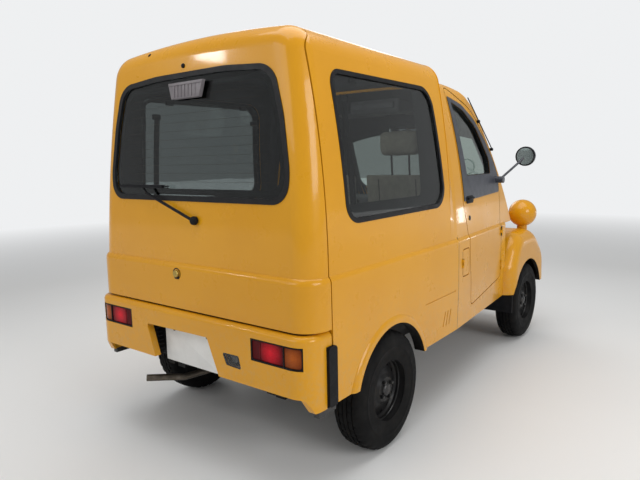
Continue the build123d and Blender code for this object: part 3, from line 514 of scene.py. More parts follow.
tyreLook = {
    "steps": 144,
    "blockDepth": 0.0045,
    "blockEvery": 4,
    "blockLean": 0.8,
    # columns: radius, offset
    "wall": [(0.1395, 0.054), (0.1402, 0.0602), (0.129, 0.0605), (0.1287, 0.062), (0.1335, 0.0632),
             (0.144, 0.0641), (0.156, 0.0648), (0.172, 0.0676), (0.185, 0.0686),
             (0.1865, 0.0696), (0.1905, 0.0697), (0.1925, 0.069), (0.208, 0.069), (0.22, 0.0676),
             (0.23, 0.0645), (0.2385, 0.06)],
    # columns: radius, offset, row of blocks (0 is a groove)
    "tread": [(0.245, 0.0545, 1), (0.2496, 0.049, 1), (0.2518, 0.0345, 1), (0.245, 0.0335, 0),
              (0.245, 0.0295, 0), (0.2528, 0.0285, 2), (0.2536, 0.0125, 2), (0.247, 0.0115, 0),
              (0.247, 0.0085, 0), (0.254, 0.0075, 0)],
}
wheelLook = {
    "track": 0.57,
    "cap": [(0, 0.0535), (0.014, 0.053), (0.023, 0.0505), (0.0275, 0.046), (0.029, 0.0402)],
    "nuts": 4,
    "nutCircle": 0.042,
    "nutOffset": 0.04,
    "nutTurn": 0.5,
    "nutRadius": 0.0085,
    "nutHeight": 0.01,
    "stud": [(0.0062, 0.01), (0.0058, 0.0135), (0.003, 0.0142), (0, 0.0142)],
    "bead": [(0.1262, 0.03), (0.1275, 0.033), (0.13, 0.034), (0.1322, 0.0322), (0.133, 0.029)],
    "valve": [(0.0042, 0.0), (0.0042, 0.018), (0.003, 0.022), (0.003, 0.03), (0, 0.0305)],
    "valvePlace": (0.0, 0.115, 0.012),
    "sparePlace": (1.325, 0, 0.668),
}


def tyreMesh():
    look = tyreLook
    half = [(r, o, 0) for r, o in look["wall"]] + look["tread"]
    rings = []
    for radius, offset, blocks in half + [(r, -o, blocks) for r, o, blocks in reversed(half)]:
        lean = math.copysign(look["blockLean"], offset) if blocks else 0.0
        ring = []
        for k in range(look["steps"]):
            phase = k + (2 if blocks == 2 else 0)
            cut = look["blockDepth"] if blocks and phase % look["blockEvery"] == 0 else 0.0
            x, z, y = ringPoint(radius - cut, 2 * math.pi * (k + lean) / look["steps"], offset)
            ring.append((x, y, z))
        rings.append(ring)
    return skinned(rings, closed=True)


def wheelDetail(side):
    # cap, nuts, bead ring and valve, along local Y
    look = wheelLook
    out = turned(-90 * side, "X")
    hexagon = [ringPoint(look["nutRadius"], math.pi / 3 * k, 0)[:2] for k in range(6)]
    parts = [lathe(look["cap"], 40, out)]
    for k in range(look["nuts"]):
        angle = 2 * math.pi * k / look["nuts"] + look["nutTurn"]
        spot = out @ at(*ringPoint(look["nutCircle"], angle, look["nutOffset"]))
        parts += [plate(hexagon, look["nutHeight"], spot, 0.0014), lathe(look["stud"], 14, spot)]
    return parts + [lathe(look["bead"], 96, out), lathe(look["valve"], 12, out @ at(*look["valvePlace"]))]


def buildWheels():
    print("wheels")
    shape = tyreMesh()
    for name in wheelNames:
        side = 1 if name.endswith("left") else -1
        place = at(frontAxle if name.startswith("front") else rearAxle, side * wheelLook["track"], wheelHeight)
        mesh = shape.copy()
        mesh.transform(place)
        addPiece("tyre_tread_" + name, mesh, "tyreRubber", "wheel_" + name, replaced=["tyre_" + name])
        fittings = merged(wheelDetail(side))
        fittings.transform(place)
        addPiece("wheel_fittings_" + name, fittings, "wheelSteel", "wheel_" + name)
    spare = shape.copy()
    spare.transform(at(*wheelLook["sparePlace"]) @ turned(-90, "Z"))
    addPiece("spare_tyre_tread", spare, "tyreRubber", replaced=["spare_tyre"])


# Rear lamps: dark frames with fluted lenses in the bumper's openings

lampLook = {
    "low": 0.503,
    "high": 0.588,
    "red": (0.366, 0.524),
    "amber": (0.526, 0.602),
    "uprightFlutes": 0.048,
    "gap": 0.001,
    "frame": 0.0062,
    "frameRounding": 0.01,
    "bar": (0.012, 0.0046),
    "reverse": [(0.212, 0.503), (0.301, 0.505), (0.314, 0.453), (0.234, 0.457)],
    "reverseFrame": 0.005,
    "reverseRounding": 0.005,
    "sink": 0.0035,
    "thickness": 0.006,
    "flute": 0.0058,
    "fluteDepth": 0.0009,
    "crown": 0.0012,
    "bumperCorner": (0.551, 0.078),
}


def bumperX(y):
    # rear face of the bumper, with its rounded corner
    start, radius = lampLook["bumperCorner"]
    over = max(0.0, abs(y) - start)
    return tailEnd + radius - math.sqrt(radius ** 2 - min(over, radius * 0.98) ** 2)


def lens(low, high, side, upright):
    look = lampLook
    count = 44
    grid = []
    for i, y in enumerate(spaced(low, high, count + 1)):
        column = []
        for j, z in enumerate(spaced(look["low"] + look["frame"], look["high"] - look["frame"], count + 1)):
            edge = min(i, count - i, j, count - j) / 2.0
            crown = look["crown"] * (1 - min(1.0, edge)) ** 2
            phase = 2 * math.pi * (y if upright else z) / look["flute"]
            wave = look["fluteDepth"] * (0.5 + 0.5 * math.cos(phase))
            column.append((bumperX(y) + look["sink"] + wave + crown, side * y, z))
        grid.append(column)
    return band(grid, look["thickness"])


def lampFrame(corners, side, width, rounding):
    # dark rim in a lamp's opening, square outside and rounded inside
    middle = [sum(c[k] for c in corners) / len(corners) for k in (0, 1)]
    inset = [[c[k] + math.copysign(width, middle[k] - c[k]) for k in (0, 1)] for c in corners]
    outside = roundedLoop([(*c, 0.0006) for c in corners])
    inside = roundedLoop([(*c, rounding) for c in inset])
    rows = ((outside, 0.012), (outside, 0.0006), (inside, 0.001), (inside, 0.012))
    return skinned([[(bumperX(y) + sink, side * y, z) for y, z in loop] for loop, sink in rows])


def buildRearLamps():
    print("rear lamps")
    look = lampLook
    (near, redEnd), (amberStart, far) = look["red"], look["amber"]
    low, high, width, gap = look["low"], look["high"], look["frame"], look["gap"]
    split = near + look["uprightFlutes"]
    corners = [(near, low), (far, low), (far, high), (near, high)]
    red, amber, frames = [], [], []
    for side in sides:
        red += [lens(split, redEnd - gap, side, False), lens(near + width, split - 1.5 * gap, side, True)]
        amber.append(lens(amberStart - gap, far - width, side, False))
        bar = at(tailEnd + look["bar"][0] / 2, side * (redEnd + gap), (low + high) / 2)
        frames += [lampFrame(corners, side, width, look["frameRounding"]),
                   softBox((*look["bar"], high - low), 0.0008, bar)]
    addPiece("red_lens_flutes", red, "redLens", replaced=["red_lamps"], smooth=60)
    addPiece("amber_lens_flutes", amber, "amberLens", replaced=["amber_lamps"], smooth=60)
    frames.append(lampFrame(look["reverse"], -1, look["reverseFrame"], look["reverseRounding"]))
    addPiece("lamp_frames", frames)


# Plates with a raised rim; bolts, recess ribs, sill brackets and the lamps over the rear plate

plateLook = {
    "size": (0.33, 0.165),
    "rounding": 0.008,
    # columns: inset, height of the rim's section
    "rim": ((0.0, 0.0), (0.0006, 0.0014), (0.003, 0.0014), (0.004, 0.0004)),
    "rear": (-1.325, 0.056, 0.4505),
    "front": (1.3738, 0.0, 0.322),
    "bolt": [(0.0075, 0.0), (0.0072, 0.0018), (0.0045, 0.003), (0, 0.0032)],
    "boltPlace": (-0.0005, 0.105, 0.062),
    "ribs": 7,
    "ribSize": (0.03, 0.0035, 0.0042),
    "ribPlace": (-1.35, 0.2195, 0.405),
    "ribStep": (0.0, 0.003, 0.018),
    "bracket": ((0.105, 0.026, 0.027), 0.004, (rearAxle - 0.441, 0.618, 0.3335)),
    "hood": ((0.03, 0.06, 0.016), 0.005, (-0.015, 0.085, 0.1025)),
}


def plateFace(name, way):
    look = plateLook
    width, height = look["size"]
    outline = roundedRows(width, height, look["rounding"])
    face = skinned([[(a * (1 - 2 * inset / width), b * (1 - 2 * inset / height), lift) for a, b in outline]
                    for inset, lift in look["rim"]], caps=[-1])
    face.transform(axisFrame(look[name], (way, 0, 0)))
    addPiece(name + "_plate_face", face, "plateEnamel")


def buildPlates():
    print("plates")
    look = plateLook
    heart = Vector(look["rear"])
    plateFace("rear", -1)
    x, y, z = look["boltPlace"]
    bolts = [lathe(look["bolt"], 20, axisFrame(heart + Vector((x, side * y, z)), (-1, 0, 0))) for side in (-1, 1)]
    addPiece("rear_plate_bolts", bolts, "pipeSteel")
    plateFace("front", 1)
    ribs = [softBox(look["ribSize"], 0.001, at(*(Vector(look["ribPlace"]) + k * Vector(look["ribStep"]))))
            for k in range(look["ribs"])]
    addPiece("recess_ribs", ribs)
    addPiece("sill_corner_brackets", boxes([look["bracket"]]), "wheelSteel")
    addPiece("plate_lamps", boxes([look["hood"]], at(*heart)))


# Small fittings on the tail: lock, washer nozzle, plug, wiper, heater lines and the high stop lamp

tailLook = {
    "glassWay": (-1, 0, 0.066),
    # places as y and z
    "lockPlace": (0.061, 0.778),
    "dish": [(0.0235, 0.0002), (0.0225, 0.0016), (0.0205, 0.0014), (0.0185, -0.001), (0, -0.001)],
    "knob": [(0.015, -0.001), (0.0152, 0.0065), (0.0135, 0.0095), (0.006, 0.01), (0, 0.0088)],
    "shieldSize": (0.026, 0.013, 0.003),
    "slotSize": (0.003, 0.011, 0.002),
    "nozzlePlace": (0.032, 1.606),
    "nozzle": [(0.0095, 0.0), (0.009, 0.004), (0.0055, 0.0072), (0, 0.008)],
    "plugPlace": (0.268, 1.678),
    "plug": [(0.008, 0.0), (0.0074, 0.0016), (0, 0.0022)],
    "armStart": (-1.36, -0.044, 0.999),
    "armEnd": (-1.359, 0.246, 1.102),
    "armBow": 0.0045,
    "armCover": [(0.0175, -0.004), (0.0178, 0.006), (0.015, 0.012), (0.007, 0.0148), (0, 0.015)],
    "bladeReach": (0.134, 0.426),
    # columns: height, radius, distance off the glass
    "blade": ((1.1315, 0.003, 0.0035), (1.124, 0.0016, 0.002)),
    "heaterHeights": (1.15, 1.49),
    "heaterLines": 11,
}
stopLampLook = {
    "place": (-1.318, 0.0, 1.508),
    "top": 0.205,
    "bottom": 0.165,
    "height": 0.064,
    "depth": 0.034,
    "ribs": 7,
}


def onHatch(y, z):
    return axisFrame(*touch("hatch_panel", (-2.0, y, z), (1, 0, 0)))


def buildTail():
    print("tail")
    look = tailLook
    base = onHatch(*look["lockPlace"])
    shield = softBox(look["shieldSize"], 0.0012, base @ at(0, -0.016, 0.0012))
    addPiece("hatch_lock_shield", [lathe(look["dish"], 40, base), shield], "blackPlastic", "hatch")
    slot = softBox(look["slotSize"], 0.0005, base @ at(0, 0, 0.0094))
    addPiece("hatch_lock", [lathe(look["knob"], 36, base), slot], "lockBrass", "hatch")
    knobs = [lathe(look[part], 24, onHatch(*look[part + "Place"])) for part in ("nozzle", "plug")]
    addPiece("washer_nozzle", knobs, "blackPlastic", "hatch")

    start, end = Vector(look["armStart"]), Vector(look["armEnd"])
    arm = [start.lerp(end, t) - Vector((look["armBow"] * math.sin(math.pi * t), 0, 0)) for t in spaced(0, 1, 5)]
    spring = [start.lerp(end, t) + Vector((0.0015, 0, -0.004)) for t in (0.12, 0.3, 0.5)]
    cover = lathe(look["armCover"], 30, axisFrame(start + Vector((0.004, 0, 0)), look["glassWay"]))
    addPiece("wiper_arm", [cover, tube(arm, 0.0046), tube(spring, 0.0022)], "blackPlastic", "hatch", smooth=50)
    blade = []
    for z, radius, gap in look["blade"]:
        starts = [(-2.0, y, z) for y in spaced(*look["bladeReach"], 13)]
        blade.append(tube(traced("hatch_glass", starts, (1, 0, 0), (-gap, 0, 0)), radius))
    addPiece("wiper_rubber", blade, "rubberAndPaintedShade", "hatch", smooth=50)

    lines = []
    for z in spaced(*look["heaterHeights"], look["heaterLines"]):
        half = 0.425 - 0.055 * max(0.0, (z - 1.18) / 0.36)
        starts = [(-1.0, y, z) for y in spaced(-half, half, 17)]
        lines.append(tube(traced("hatch_glass", starts, (-1, 0, 0), (0.0006, 0, 0)), 0.0005, 1))
    addPiece("heater_lines", lines, "heaterPrint", "hatch", smooth=60)


def buildStopLamp():
    look = stopLampLook
    top, bottom, tall = look["top"] / 2, look["bottom"] / 2, look["height"] / 2
    front = look["depth"] / 2 + 0.0012
    turn = axisFrame(look["place"], tailLook["glassWay"])
    parts = [plate([(-top, tall), (-bottom, -tall), (bottom, -tall), (top, tall)], look["depth"] / 2, turn, 0.004)]
    for k in range(look["ribs"]):
        shift = (k - (look["ribs"] - 1) / 2) * look["bottom"] / (look["ribs"] + 1)
        parts.append(softBox((0.005, look["height"] * 0.72, 0.004), 0.001, turn @ at(shift, -0.004, front)))
    parts.append(softBox((look["top"] * 0.92, 0.007, 0.005), 0.001, turn @ at(0, tall * 0.72, front)))
    addPiece("high_stop_lamp", parts, "lampHousing", "hatch")


# Dark borders on the glass, laid on its inner side

borderLook = {
    "sideOuter": [(-0.2985, 1.008, 0.064), (0.538, 1.012, 0.08), (0.478, 1.536, 0.088), (-0.298, 1.536, 0.044)],
    "rightInner": [(-0.283, 1.062, 0.03), (0.318, 1.06, 0.03), (0.326, 1.528, 0.012), (-0.268, 1.53, 0.012)],
    "leftInner": [(-0.28, 1.04, 0.045), (0.512, 1.04, 0.062), (0.458, 1.52, 0.07), (-0.28, 1.52, 0.04)],
    "tailOuter": [(0.491, 1.098, 0.05), (0.502, 1.184, 0.2), (0.47, 1.378, 0.38), (0.424, 1.538, 0.08)],
    "tailInner": [(0.466, 1.122, 0.04), (0.477, 1.19, 0.15), (0.447, 1.37, 0.36), (0.404, 1.52, 0.07)],
    "tailHeart": (0.0, 1.31),
    "lift": 0.0012,
}


def buildBorders():
    print("glass borders")
    look = borderLook
    outer = roundedLoop(look["sideOuter"])
    for side in sides:
        def onSide(point):
            x, z = point[0] + rearAxle, point[1]
            place, _ = touch("cargo_glass", (x, side * 0.3, z), (0, side, 0))
            y = abs(place.y) if place else 0.598 - 0.17 * max(0.0, z - 1.06)
            return (x, side * (y - look["lift"]), z)

        inner = roundedLoop(look[sided(side) + "Inner"])
        ring = bandBetween(outer, inner, onSide, (0, -side * 0.0008, 0))
        addPiece("side_glass_border_" + sided(side), ring, "glassBorderDark", smooth=60)

    heart = Vector(look["tailHeart"])

    def onTail(point):
        # a point past the glass edge is drawn back onto it
        for step in range(12):
            spot = heart.lerp(Vector(point), 1 - 0.006 * step)
            place, _ = touch("hatch_glass", (-1.0, spot.x, spot.y), (-1, 0, 0))
            if place:
                return (place.x + look["lift"], spot.x, spot.y)

    outer, inner = [roundedLoop(rows + [(-a, b, r) for a, b, r in reversed(rows)])
                    for rows in (look["tailOuter"], look["tailInner"])]
    ring = bandBetween(outer, inner, onTail, (0.0007, 0, 0))
    addPiece("tail_glass_border", ring, "glassBorderDark", "hatch", smooth=60)


# Linings: dark trim sheets behind the painted panels

def buildLinings():
    print("linings")
    roofKeep = lambda c, n: n.z < -0.3 and abs(c.y) < 0.6 and c.z > 1.55
    addLining("cargo_headliner", "cargo_roof", roofKeep, "liningCloth")
    for side in sides:
        door = "door_" + sided(side)
        wallKeep = lambda c, n: n.y * side < -0.25 and abs(c.y) < 0.618 and c.z > 0.61 and abs(n.x) < 0.9
        doorKeep = lambda c, n: n.y * side < -0.6 and abs(c.y) < 0.6 and c.x < 0.56
        addLining("cargo_lining_" + sided(side), "cargo_side_" + sided(side), wallKeep, "liningBoard")
        addLining("door_card_" + sided(side), door + "_panel", doorKeep, "liningBoard", door, 0.0015)
    hatchKeep = lambda c, n: n.x > 0.2 and c.x < -1.27 and abs(c.y) < 0.59
    addLining("hatch_lining", "hatch_panel", hatchKeep, "liningBoard", "hatch")

    def cabKeep(c, n):
        inward = Vector((0.25 - c.x, -c.y, 1.05 - c.z)).normalized()
        return c.z > 0.62 and c.x < 0.72 and n.dot(inward) > 0.25

    addLining("cab_headliner", "cab_body", cabKeep, "liningCloth")


# Door fittings on both sides

doorLook = {
    # places as x and z
    "handlePlace": (rearAxle + 0.893, 1.004),
    "cup": (0.11, 0.04, 0.016),
    "gripSize": (0.088, 0.012, 0.012),
    "postSize": (0.01, 0.012, 0.01),
    "postShift": 0.036,
    "lockPlace": (rearAxle + 0.884, 0.905),
    "barrel": [(0.0135, 0.0), (0.0132, 0.0028), (0.0105, 0.0042), (0.0062, 0.0042), (0.0058, 0.0032), (0, 0.0032)],
    "mirrorPlace": (0.6466, 0.707, 1.227),
    "mirrorGlass": [(0, 0.0), (0.03, 0.0003), (0.0495, 0.001)],
    "mirrorRim": [(0.0496, 0.0002), (0.0505, 0.0022), (0.0545, 0.0028), (0.0578, 0.0012), (0.0579, -0.003)],
}


def buildDoors():
    print("doors")
    look = doorLook

    def onDoor(node, side, x, z):
        return axisFrame(*touch(node, (x, side * 2, z), (0, -side, 0)))

    for side in sides:
        body = "door_" + sided(side)
        turn = onDoor(body + "_trim", side, *look["handlePlace"])
        parts = [plate(roundedRows(*look["cup"]), 0.0022, turn, 0.0012),
                 softBox(look["gripSize"], 0.0045, turn @ at(0, 0.006, 0.0085))]
        parts += [softBox(look["postSize"], 0.002, turn @ at(shift, 0.006, 0.004))
                  for shift in (-look["postShift"], look["postShift"])]
        addPiece("door_handle_" + sided(side), parts, "blackPlastic", body)
        barrel = lathe(look["barrel"], 32, onDoor(body + "_panel", side, *look["lockPlace"]))
        addPiece("door_lock_" + sided(side), barrel, "wheelSteel", body)
        x, y, z = look["mirrorPlace"]
        face = axisFrame((x, side * y, z), (-1, 0, 0))
        addPiece("mirror_face_" + sided(side), lathe(look["mirrorGlass"], 64, face), "mirrorSilver", body)
        addPiece("mirror_rim_" + sided(side), lathe(look["mirrorRim"], 64, face), "blackPlastic", body)


# Seats: stitched cushions swelled by a short cloth run, on the seat's steel base

seatLook = {
    "middles": (0.255, -0.255),
    "back": -0.06,
    "lean": 6.0,
    # columns: size, rounding, place from the seat's back and middle, lean
    "cushion": ((0.415, 0.425, 0.105), 0.034, (0.235, 0.64), 0.0),
    "backrest": ((0.075, 0.415, 0.475), 0.03, (0.012, 0.905), 6.0),
    "headrest": ((0.062, 0.238, 0.128), 0.027, (-0.022, 1.31), 4.0),
    "voxel": 0.0065,
    "frames": 16,
    "pressure": 3.0,
    "cap": 0.012,
    "channelWidth": 0.0055,
    "channelDepth": 0.0075,
    # plate, rails and runners, from the seat's back and middle
    "frame": (((0.4, 0.39, 0.016), 0.005, (0.23, 0, 0.575)), ((0.36, 0.022, 0.15), 0.006, (0.225, 0.18, 0.492)),
              ((0.39, 0.034, 0.018), 0.004, (0.225, 0.18, 0.406))),
    # headrest's posts as x and z
    "post": ((-0.01, 1.11), (-0.015, 1.165), (-0.022, 1.26)),
    "postShift": 0.054,
    "postRadius": 0.0055,
    "shell": ((0.022, 0.395, 0.45), 0.01),
    "shellPlace": (-0.0275, 0.915),
    "pipingHeights": (0.71, 0.81, 0.915, 1.02, 1.115),
    "pipingDepth": 0.0395,
    "pipingShift": 0.115,
    "pipingRadius": 0.0022,
}


def swell(part, seams, along, outward):
    # seams run across the seat at its sideways places, and across the given way
    look = seatLook
    size, rounding, (x, z), lean = look[part]
    sideways = Vector((0, 1, 0))
    place = at(look["back"] + x, look["middles"][0], z) @ turned(-lean, "Y")
    pad = linked(part, softBox(size, rounding, place, 4))
    remesh = pad.modifiers.new("even", "REMESH")
    remesh.mode, remesh.voxel_size = "VOXEL", look["voxel"]
    even = bpy.data.meshes.new_from_object(pad.evaluated_get(bpy.context.evaluated_depsgraph_get()))
    pad.modifiers.clear()
    pad.data = even
    start = [v.co.copy() for v in even.vertices]
    cloth = pad.modifiers.new("swell", "CLOTH")
    cloth.settings.use_pressure = True
    cloth.settings.uniform_pressure_force = look["pressure"]
    cloth.settings.effector_weights.gravity = 0.0
    cloth.settings.quality = 5
    scene = bpy.context.scene
    for frameNumber in range(1, look["frames"] + 1):
        scene.frame_set(frameNumber)
    swelled = bpy.data.meshes.new_from_object(pad.evaluated_get(bpy.context.evaluated_depsgraph_get()))
    scene.frame_set(1)
    pad.modifiers.clear()
    for v, first in zip(swelled.vertices, start):
        move = v.co - first
        if move.length > look["cap"]:
            v.co = first + move.normalized() * look["cap"]
    pad.data = swelled
    # channels pressed in after the swelling
    mesh = pad.data
    mesh.update()
    normals = [v.normal.copy() for v in mesh.vertices]
    for v, normal in zip(mesh.vertices, normals):
        gaps = [abs(v.co.dot(way) - seam) for way, places in ((sideways, seams[0]), (along, seams[1]))
                for seam in places]
        depth = max(math.exp(-(gap / look["channelWidth"]) ** 2) for gap in gaps)
        v.co -= normal * look["channelDepth"] * depth * max(0.0, normal.dot(outward))
    bpy.data.objects.remove(pad)
    return mesh


def buildSeats():
    print("seats")
    look = seatLook
    y, back = look["middles"][0], look["back"]
    shellX, shellZ = look["shellPlace"]
    ahead, upward = Vector((1, 0, 0)), Vector((0, 0, 1))
    shapes = {
        "cushion": swell("cushion", ((y - 0.13, y + 0.13), (back + 0.13, back + 0.235, back + 0.34)), ahead, upward),
        "backrest": swell("backrest", ((y - 0.125, y + 0.125), (0.8, 0.905, 1.01)), upward, ahead),
        "headrest": swell("headrest", ((), (1.31,)), upward, ahead),
    }
    for middle in look["middles"]:
        tag = sided(middle)
        for part, mesh in shapes.items():
            copy = mesh.copy()
            copy.transform(at(0, middle - y, 0))
            pad = addPiece("seat_" + part + "_" + tag, copy, "seatCloth", replaced=["seats"], smooth=75)
        parts = boxes(look["frame"], at(back, middle, 0))
        for side in sides:
            post = [(back + x, middle + side * look["postShift"], z) for x, z in look["post"]]
            piping = [(back - look["pipingDepth"] - (z - shellZ) * 0.105, middle + side * look["pipingShift"], z)
                      for z in look["pipingHeights"]]
            parts += [tube(post, look["postRadius"]), tube(piping, look["pipingRadius"])]
        shell = softBox(*look["shell"], at(back + shellX, middle, shellZ) @ turned(-look["lean"], "Y"))
        addPiece("seat_back_cover_" + tag, shell, "seatCloth", replaced=["seats"])
        addPiece("seat_frame_" + tag, parts, "blackPlastic", replaced=["seats"])


# Cabin: dash pods and vents, wheel grip, mirror, visors, console, belts, window bars

cabinLook = {
    "podPlace": (0.585, -0.25, 0.985),
    "dialX": 0.5255,
    "dialShift": 0.065,
    "dial": [(0.042, 0.0), (0.044, 0.004), (0.04, 0.006), (0.037, 0.002), (0, 0.002)],
    "pod": ((0.12, 0.3, 0.07), 0.026),
    "ventShifts": (-0.44, -0.06, 0.06, 0.44),
    "ventPlace": (0.502, 0.925),
    "ventSize": (0.085, 0.046, 0.008),
    "slats": 4,
    "slatSize": (0.072, 0.003, 0.008),
    # glove box lid and radio panel: place, size with rounding, thickness, bevel
    "lids": (((0.508, 0.25, 0.84), (0.25, 0.105, 0.014), 0.008, 0.003),
             ((0.505, 0.0, 0.84), (0.18, 0.055, 0.006), 0.006, 0.002)),
    "wheelHub": (0.41, -0.25, 0.985),
    "wheelWay": (-0.14, 0, 0.135),
    "hubLift": 0.0143,
    "wheelPad": [(0.06, 0.004), (0.059, 0.015), (0.052, 0.021), (0.03, 0.024), (0, 0.0246)],
    "wheelRadius": 0.165,
    "gripRadius": 0.0148,
    "mirrorPlace": (0.425, -0.005, 1.415),
    "visor": ((0.125, 0.33, 0.014), 0.006),
    "visorPlace": (0.33, 0.235, 1.497),
    "visorTurn": 20,
    "console": (((0.19, 0.34, 0.085), 0.022, (0.15, 0, 1.535)), ((0.02, 0.28, 0.04), 0.006, (0.048, 0, 1.535))),
    "beltTop": (-0.105, 0.5, 1.37),
    "beltFoot": (-0.09, 0.548, 0.66),
    "beltWidth": 0.046,
    "beltDepth": 0.0013,
    "beltGuide": ((0.06, 0.014, 0.05), 0.005),
    "beltReel": ((0.075, 0.026, 0.11), 0.008),
    "reelDrop": 0.04,
    "barX": rearAxle - 0.2135,
    "barHeights": (1.02, 1.445),
    # corners of the bar's section, as x and depth
    "barSection": ((-0.0125, 0.0), (0.0125, 0.0), (0.0125, 0.01), (-0.0125, 0.01)),
    "clipBox": ((0.046, 0.014, 0.026), 0.005),
    # clips that hold the pane, as x and z
    "clips": ((-0.98, 1.524), (-0.47, 1.528), (-1.0535, 1.452), (-0.372, 1.446)),
    "glassGap": 0.008,
}


def buildDash():
    look = cabinLook
    x, y, z = look["podPlace"]
    pod = [softBox(*look["pod"], at(x, y, z))]
    pod += [lathe(look["dial"], 48, axisFrame((look["dialX"], y + shift, z), (-1, 0, 0.15)))
            for shift in (-look["dialShift"], look["dialShift"])]
    addPiece("instrument_pod", pod)
    parts = []
    for y in look["ventShifts"]:
        x, z = look["ventPlace"]
        turn = axisFrame((x, y, z), (-1, 0, 0.12))
        parts.append(plate(roundedRows(*look["ventSize"]), 0.006, turn, 0.002))
        parts += [softBox(look["slatSize"], 0.0008, turn @ at(0, -0.015 + 0.01 * k, 0.0068))
                  for k in range(look["slats"])]
    for place, size, depth, bevel in look["lids"]:
        parts.append(plate(roundedRows(*size), depth, axisFrame(place, (-1, 0, 0.1)), bevel))
    addPiece("dash_fittings", parts)

    way = Vector(look["wheelWay"]).normalized()
    turn = axisFrame(Vector(look["wheelHub"]) + way * look["hubLift"], way)
    parts = [lathe(look["wheelPad"], 48, turn)]
    for k in range(4):
        middle = math.pi / 4 + math.pi / 2 * k
        arc = [turn @ Vector(ringPoint(look["wheelRadius"], middle + t * 0.09, 0)) for t in range(-3, 4)]
        parts.append(tube(arc, look["gripRadius"]))
    addPiece("steering_wheel_pad", parts, "blackPlastic", "steering_wheel")


def buildCabin():
    print("cabin")
    buildDash()
    look = cabinLook
    x, y, z = look["mirrorPlace"]
    arm = tube([(x + 0.007, y, z + 0.015), (x + 0.02, 0.0, z + 0.047), (x + 0.027, 0.0, z + 0.087)], 0.005)
    addPiece("cabin_mirror", [softBox((0.022, 0.215, 0.058), 0.01, at(x, y, z)), arm])
    face = plate(roundedRows(0.2, 0.046, 0.014), 0.001, axisFrame((x - 0.0108, y, z), (-1, 0, 0)), 0.0004)
    addPiece("cabin_mirror_face", face, "mirrorSilver")
    x, y, z = look["visorPlace"]
    visors = [softBox(*look["visor"], at(x, side * y, z) @ turned(look["visorTurn"], "Y")) for side in sides]
    addPiece("sun_visors", visors, "greyPlastic")
    addPiece("roof_console", boxes(look["console"]), "greyPlastic")

    belts, bars = [], []
    half = look["beltWidth"] / 2
    for side in sides:
        top, foot = [Vector((x, side * y, z)) for x, y, z in (look["beltTop"], look["beltFoot"])]
        rows = []
        for t in spaced(0, 1, 25):
            bow = math.sin(math.pi * t)
            middle = top.lerp(foot, t) + Vector((0.01 * bow, -side * 0.006 * bow, 0))
            rows.append([middle + Vector((across, 0, 0)) for across in (-half, half)])
        belts += [band(rows, look["beltDepth"]), softBox(*look["beltGuide"], at(*top)),
                  softBox(*look["beltReel"], at(*foot) @ at(0, 0, -look["reelDrop"]))]
    addPiece("seat_belts", belts, "beltWeb", smooth=50)
    for side in sides:
        inward = (0, -side * look["glassGap"], 0)
        starts = [(look["barX"], side * 0.3, z) for z in spaced(*look["barHeights"], 7)]
        points = traced("cargo_glass", starts, (0, side, 0), inward)
        rows = [[point + Vector((across, -side * deep, 0)) for across, deep in look["barSection"]]
                for point in points]
        clips = traced("cargo_glass", [(x, side * 0.3, z) for x, z in look["clips"]], (0, side, 0), inward)
        bars += [skinned(rows, caps=(0, -1))] + [softBox(*look["clipBox"], at(*clip)) for clip in clips]
    addPiece("window_bars", bars)


# Dark underseal in the wheel arches, black reveals around the windows and the seam of cab and body; the seam's dark
# line and the cargo window reveals are painted shade

sealLook = {
    "archReach": 0.46,
    "archWay": 0.6,
    "lift": 0.0012,
    "seamHeights": (0.349, 0.826),
    "seamWidth": 0.0032,
    "seamDepth": 0.0008,
    "revealReach": 0.03,
}


def buildSeals():
    print("underseal, reveals and seams")
    look = sealLook
    half = look["seamWidth"] / 2
    seams = []
    # the seam of cab and body is a thin dark strip on flush panels: painted shade where the real panel step lies in
    # shadow
    for side in sides:
        starts = [(seam + 0.004, side * 2, z) for z in spaced(*look["seamHeights"], 33)]
        points = traced("cab_body", starts, (0, -side, 0), (-0.004, side * 0.0004, 0))
        rows = [[point + Vector((shift, 0, 0)) for shift in (-half, half)] for point in points]
        seams.append(band(rows, look["seamDepth"]))
    addPiece("body_seams", seams, "rubberAndPaintedShade", smooth=60)
    for side in sides:
        wall, door = "cargo_side_" + sided(side), "door_" + sided(side)
        for title, node, wheelX in (("front", "front_fenders", frontAxle), ("rear", wall, rearAxle + 0.018)):
            def archKeep(c, n):
                away = Vector((wheelX - c.x, 0, wheelHeight - c.z))
                inward = n.dot(away.normalized()) > look["archWay"] or n.y * side < -look["archWay"]
                return c.y * side > 0 and away.length < look["archReach"] and inward

            addLining(title + "_underseal_" + sided(side), node, archKeep, "chassisPaint", "body", look["lift"])
        # dark sheets on the reveals round the windows; on the cargo windows they cover the painted flange as painted
        # shade
        for title, glass, panel, body in (("door_glass", door + "_glass", door + "_panel", door),
                                          ("cargo", "cargo_glass", wall, "body")):
            low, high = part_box(glass)
            heart = (Vector(low) + Vector(high)) / 2

            def revealKeep(c, n):
                toward = Vector((heart.x - c.x, 0, heart.z - c.z)).normalized()
                reach = look["revealReach"]
                inside = all(low[k] - reach < c[k] < high[k] + reach for k in (0, 2))
                return inside and abs(n.y) < 0.6 and n.dot(toward) > 0.3

            addLining(title + "_reveal_" + sided(side), panel, revealKeep, "rubberAndPaintedShade", body, look["lift"])


# Front: bezels, reflectors, bulbs, grille bars, wipers, indicators

